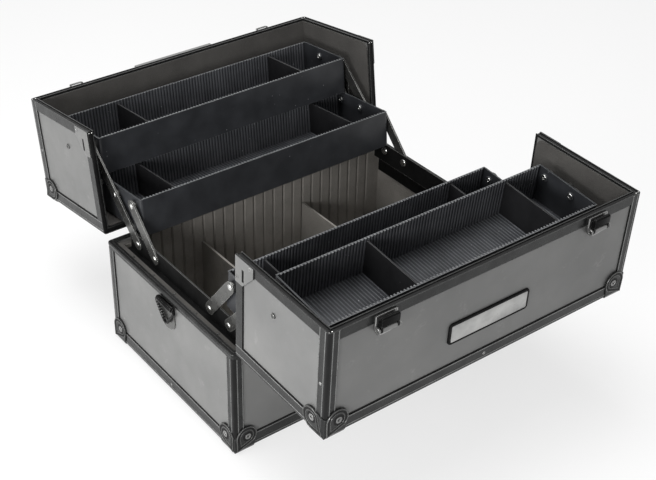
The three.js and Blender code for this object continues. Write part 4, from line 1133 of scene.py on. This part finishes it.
def bare_badge():
    """A plain plate without any marking: a dark bevelled surround and a satin field."""
    place = lid_place("front") @ shift(0, BADGE_MIDDLE, LID_TOP - PANEL_INSET)

    def ring(inset, z):
        plan = rounded_rectangle(BADGE_HALF_LENGTH - inset, BADGE_HALF_HEIGHT - inset, BADGE_ROUND - inset)
        return [(x, y, z) for x, y in plan]

    for name, finish, rings in BADGE_FORMS:
        shape = Shape()
        shape.skin([ring(*values) for values in rings], place)
        shape.piece(name, "front_lid", finish)


# Strap fittings
SLEEVE_BORE = 2.6
SLEEVE_END = 3.7
SLEEVE_RADIUS = 4.03
SLEEVE_BEVEL = 0.4
SLEEVE_PROUD = 0.1
STRAP_RIVET_Z = 113.5


def strap_trims():
    """A black sleeve on each barrel, a rivet under it and the winding of its ring."""
    half = STRAP_HALF_WIDTH
    outer, inner = half + SLEEVE_PROUD, half - SLEEVE_BEVEL
    profile = [(SLEEVE_BORE, -outer), (SLEEVE_END, -outer), (SLEEVE_RADIUS, -inner), (SLEEVE_RADIUS, inner),
               (SLEEVE_END, outer), (SLEEVE_BORE, outer)]
    head = dome_profile(*STRAP_DOME)
    half_facet = 180 / LATHE_STEPS
    for name, end in (("left", -1), ("right", 1)):
        x = end * STRAP_PIN_X
        sleeve = Shape()
        across = shift(x, 0, STRAP_PIN_Z) @ turn_about("X", 90) @ turn_about("Z", half_facet)
        sleeve.lathe(profile, across)
        sleeve.piece(f"strap_barrel_sleeve_{name}", "base", "latch")
        rivet = Shape()
        rivet.lathe(head, on_face(IDENTITY, (end * STRAP_FACE, 0, STRAP_RIVET_Z), (end, 0, 0)), RIVET_STEPS)
        rivet.piece(f"strap_rivet_{name}", "base", "bracket")
        winding(name, x)


WIRE_RADIUS = 0.8
WINDING_RADIUS = 2.2
WINDING_PITCH = 3.6
WINDING_STEPS = 14
WINDING_SIDES = 5
WINDING_SHARES = (0.16, 0.80)


def winding(name, x):
    """A wire wound round one leg of a strap ring."""
    top = Vector((x, STRAP_RING_HALF, STRAP_PIN_Z))
    tip = Vector((x, 0, STRAP_RING_TIP))
    start, end = (top.lerp(tip, share) for share in WINDING_SHARES)
    along = (end - start).normalized()
    side = Vector((1, 0, 0))
    other = along.cross(side)
    turns = (end - start).length / WINDING_PITCH
    steps = int(turns * WINDING_STEPS)
    rings = []
    for i in range(steps + 1):
        t = 2 * math.pi * turns * i / steps
        out = side * math.cos(t) + other * math.sin(t)
        centre = start.lerp(end, i / steps) + out * WINDING_RADIUS
        rings.append([
            tuple(centre + (out * math.cos(a) + along * math.sin(a)) * WIRE_RADIUS)
            for a in (math.radians(360 / WINDING_SIDES * k) for k in range(WINDING_SIDES))
        ])
    shape = Shape()
    shape.skin(rings)
    shape.piece(f"strap_ring_winding_{name}", f"strap_{name}", "trim")


# Floor, world and lamps
def seen_directly(tree):
    """1 for what the camera sees, also in a mirror or through glass."""
    path = tree.nodes.new("ShaderNodeLightPath")
    factor = path.outputs["Is Camera Ray"]
    for kind in ("Is Glossy Ray", "Is Transmission Ray"):
        either = tree.nodes.new("ShaderNodeMath")
        either.operation = "MAXIMUM"
        tree.links.new(factor, either.inputs[0])
        tree.links.new(path.outputs[kind], either.inputs[1])
        factor = either.outputs[0]
    return factor


FLOOR_GLOW = 0.68
FLOOR_HALF = 6.0
FLOOR_DROP = 0.0005


def stage_material():
    """White floor: it shows nearly white to the camera and keeps the shadow."""
    n = Nodes("floor_white")
    n.set("Base Color", grey(0.92))
    n.set("Roughness", 0.9)
    glow = n.new("Emission")
    blend = n.new("MixShader")
    n.link(n.math("MULTIPLY", seen_directly(n.tree), FLOOR_GLOW), blend.inputs[0])
    n.link(n.shader.outputs[0], blend.inputs[1])
    n.link(glow.outputs[0], blend.inputs[2])
    n.link(blend.outputs[0], n.output.inputs["Surface"])
    return n.material


def make_floor():
    mesh = bpy.data.meshes.new("floor")
    corners = [(x * FLOOR_HALF, y * FLOOR_HALF) for x, y in ((-1, -1), (1, -1), (1, 1), (-1, 1))]
    mesh.from_pydata([(x, y, -FLOOR_DROP) for x, y in corners], [], [(0, 1, 2, 3)])
    floor = bpy.data.objects.new("floor", mesh)
    bpy.context.scene.collection.objects.link(floor)
    mesh.materials.append(stage_material())


WORLD_LIGHT = 0.32


def make_world():
    world = bpy.data.worlds.new("world")
    bpy.context.scene.world = world
    world.use_nodes = True
    tree = world.node_tree
    tree.nodes.clear()
    out = tree.nodes.new("ShaderNodeOutputWorld")
    mix = tree.nodes.new("ShaderNodeMixShader")
    tree.links.new(seen_directly(tree), mix.inputs[0])
    for socket, strength in ((mix.inputs[1], WORLD_LIGHT), (mix.inputs[2], 1)):
        light = tree.nodes.new("ShaderNodeBackground")
        light.inputs["Color"].default_value = (1, 1, 1, 1)
        light.inputs["Strength"].default_value = strength
        tree.links.new(light.outputs[0], socket)
    tree.links.new(mix.outputs[0], out.inputs["Surface"])


def lamp(name, place, target, size, power):
    """A rectangular area lamp, in metres and watts."""
    data = bpy.data.lights.new(name, "AREA")
    data.shape = "RECTANGLE"
    data.size, data.size_y = size
    data.energy = power
    obj = bpy.data.objects.new(name, data)
    bpy.context.scene.collection.objects.link(obj)
    aim = Vector(target) - Vector(place)
    turn = aim.to_track_quat("-Z", "Y").to_matrix().to_4x4()
    obj.matrix_world = Matrix.Translation(Vector(place)) @ turn


make_camera()
dress_nodes()
for side in SIDES:
    for level in TRAY_SPAN:
        tray_ribs(side, level)
    for arm in ARM_RIVETS:
        arm_rivets(side, arm)
    link_domes(side)
    lid_gasket(side)
    lid_rim_pins(side)
    lid_edging(side)
    corner_plate_trims(side)
base_rim_lines()
base_ledge()
base_edging()
all_cap_trims()
leg_rivets()
panel_dark_beads()
rear_lid_fittings()
latch_trims()
bare_badge()
strap_trims()
make_floor()
make_world()
lamp("left_softbox", place=(-1.2, -0.62, 0.55), target=(-0.1, -0.15, 0.15), size=(0.45, 0.4), power=10)
lamp("low_softbox", place=(-1.3, 0.25, 0.2), target=(-0.2, 0.05, 0.08), size=(0.5, 0.4), power=5)
lamp("top_softbox", place=(-0.2, 0.2, 2.2), target=(0, 0, 0.1), size=(1.4, 1.2), power=42)
bpy.context.scene.view_settings.view_transform = "Standard"
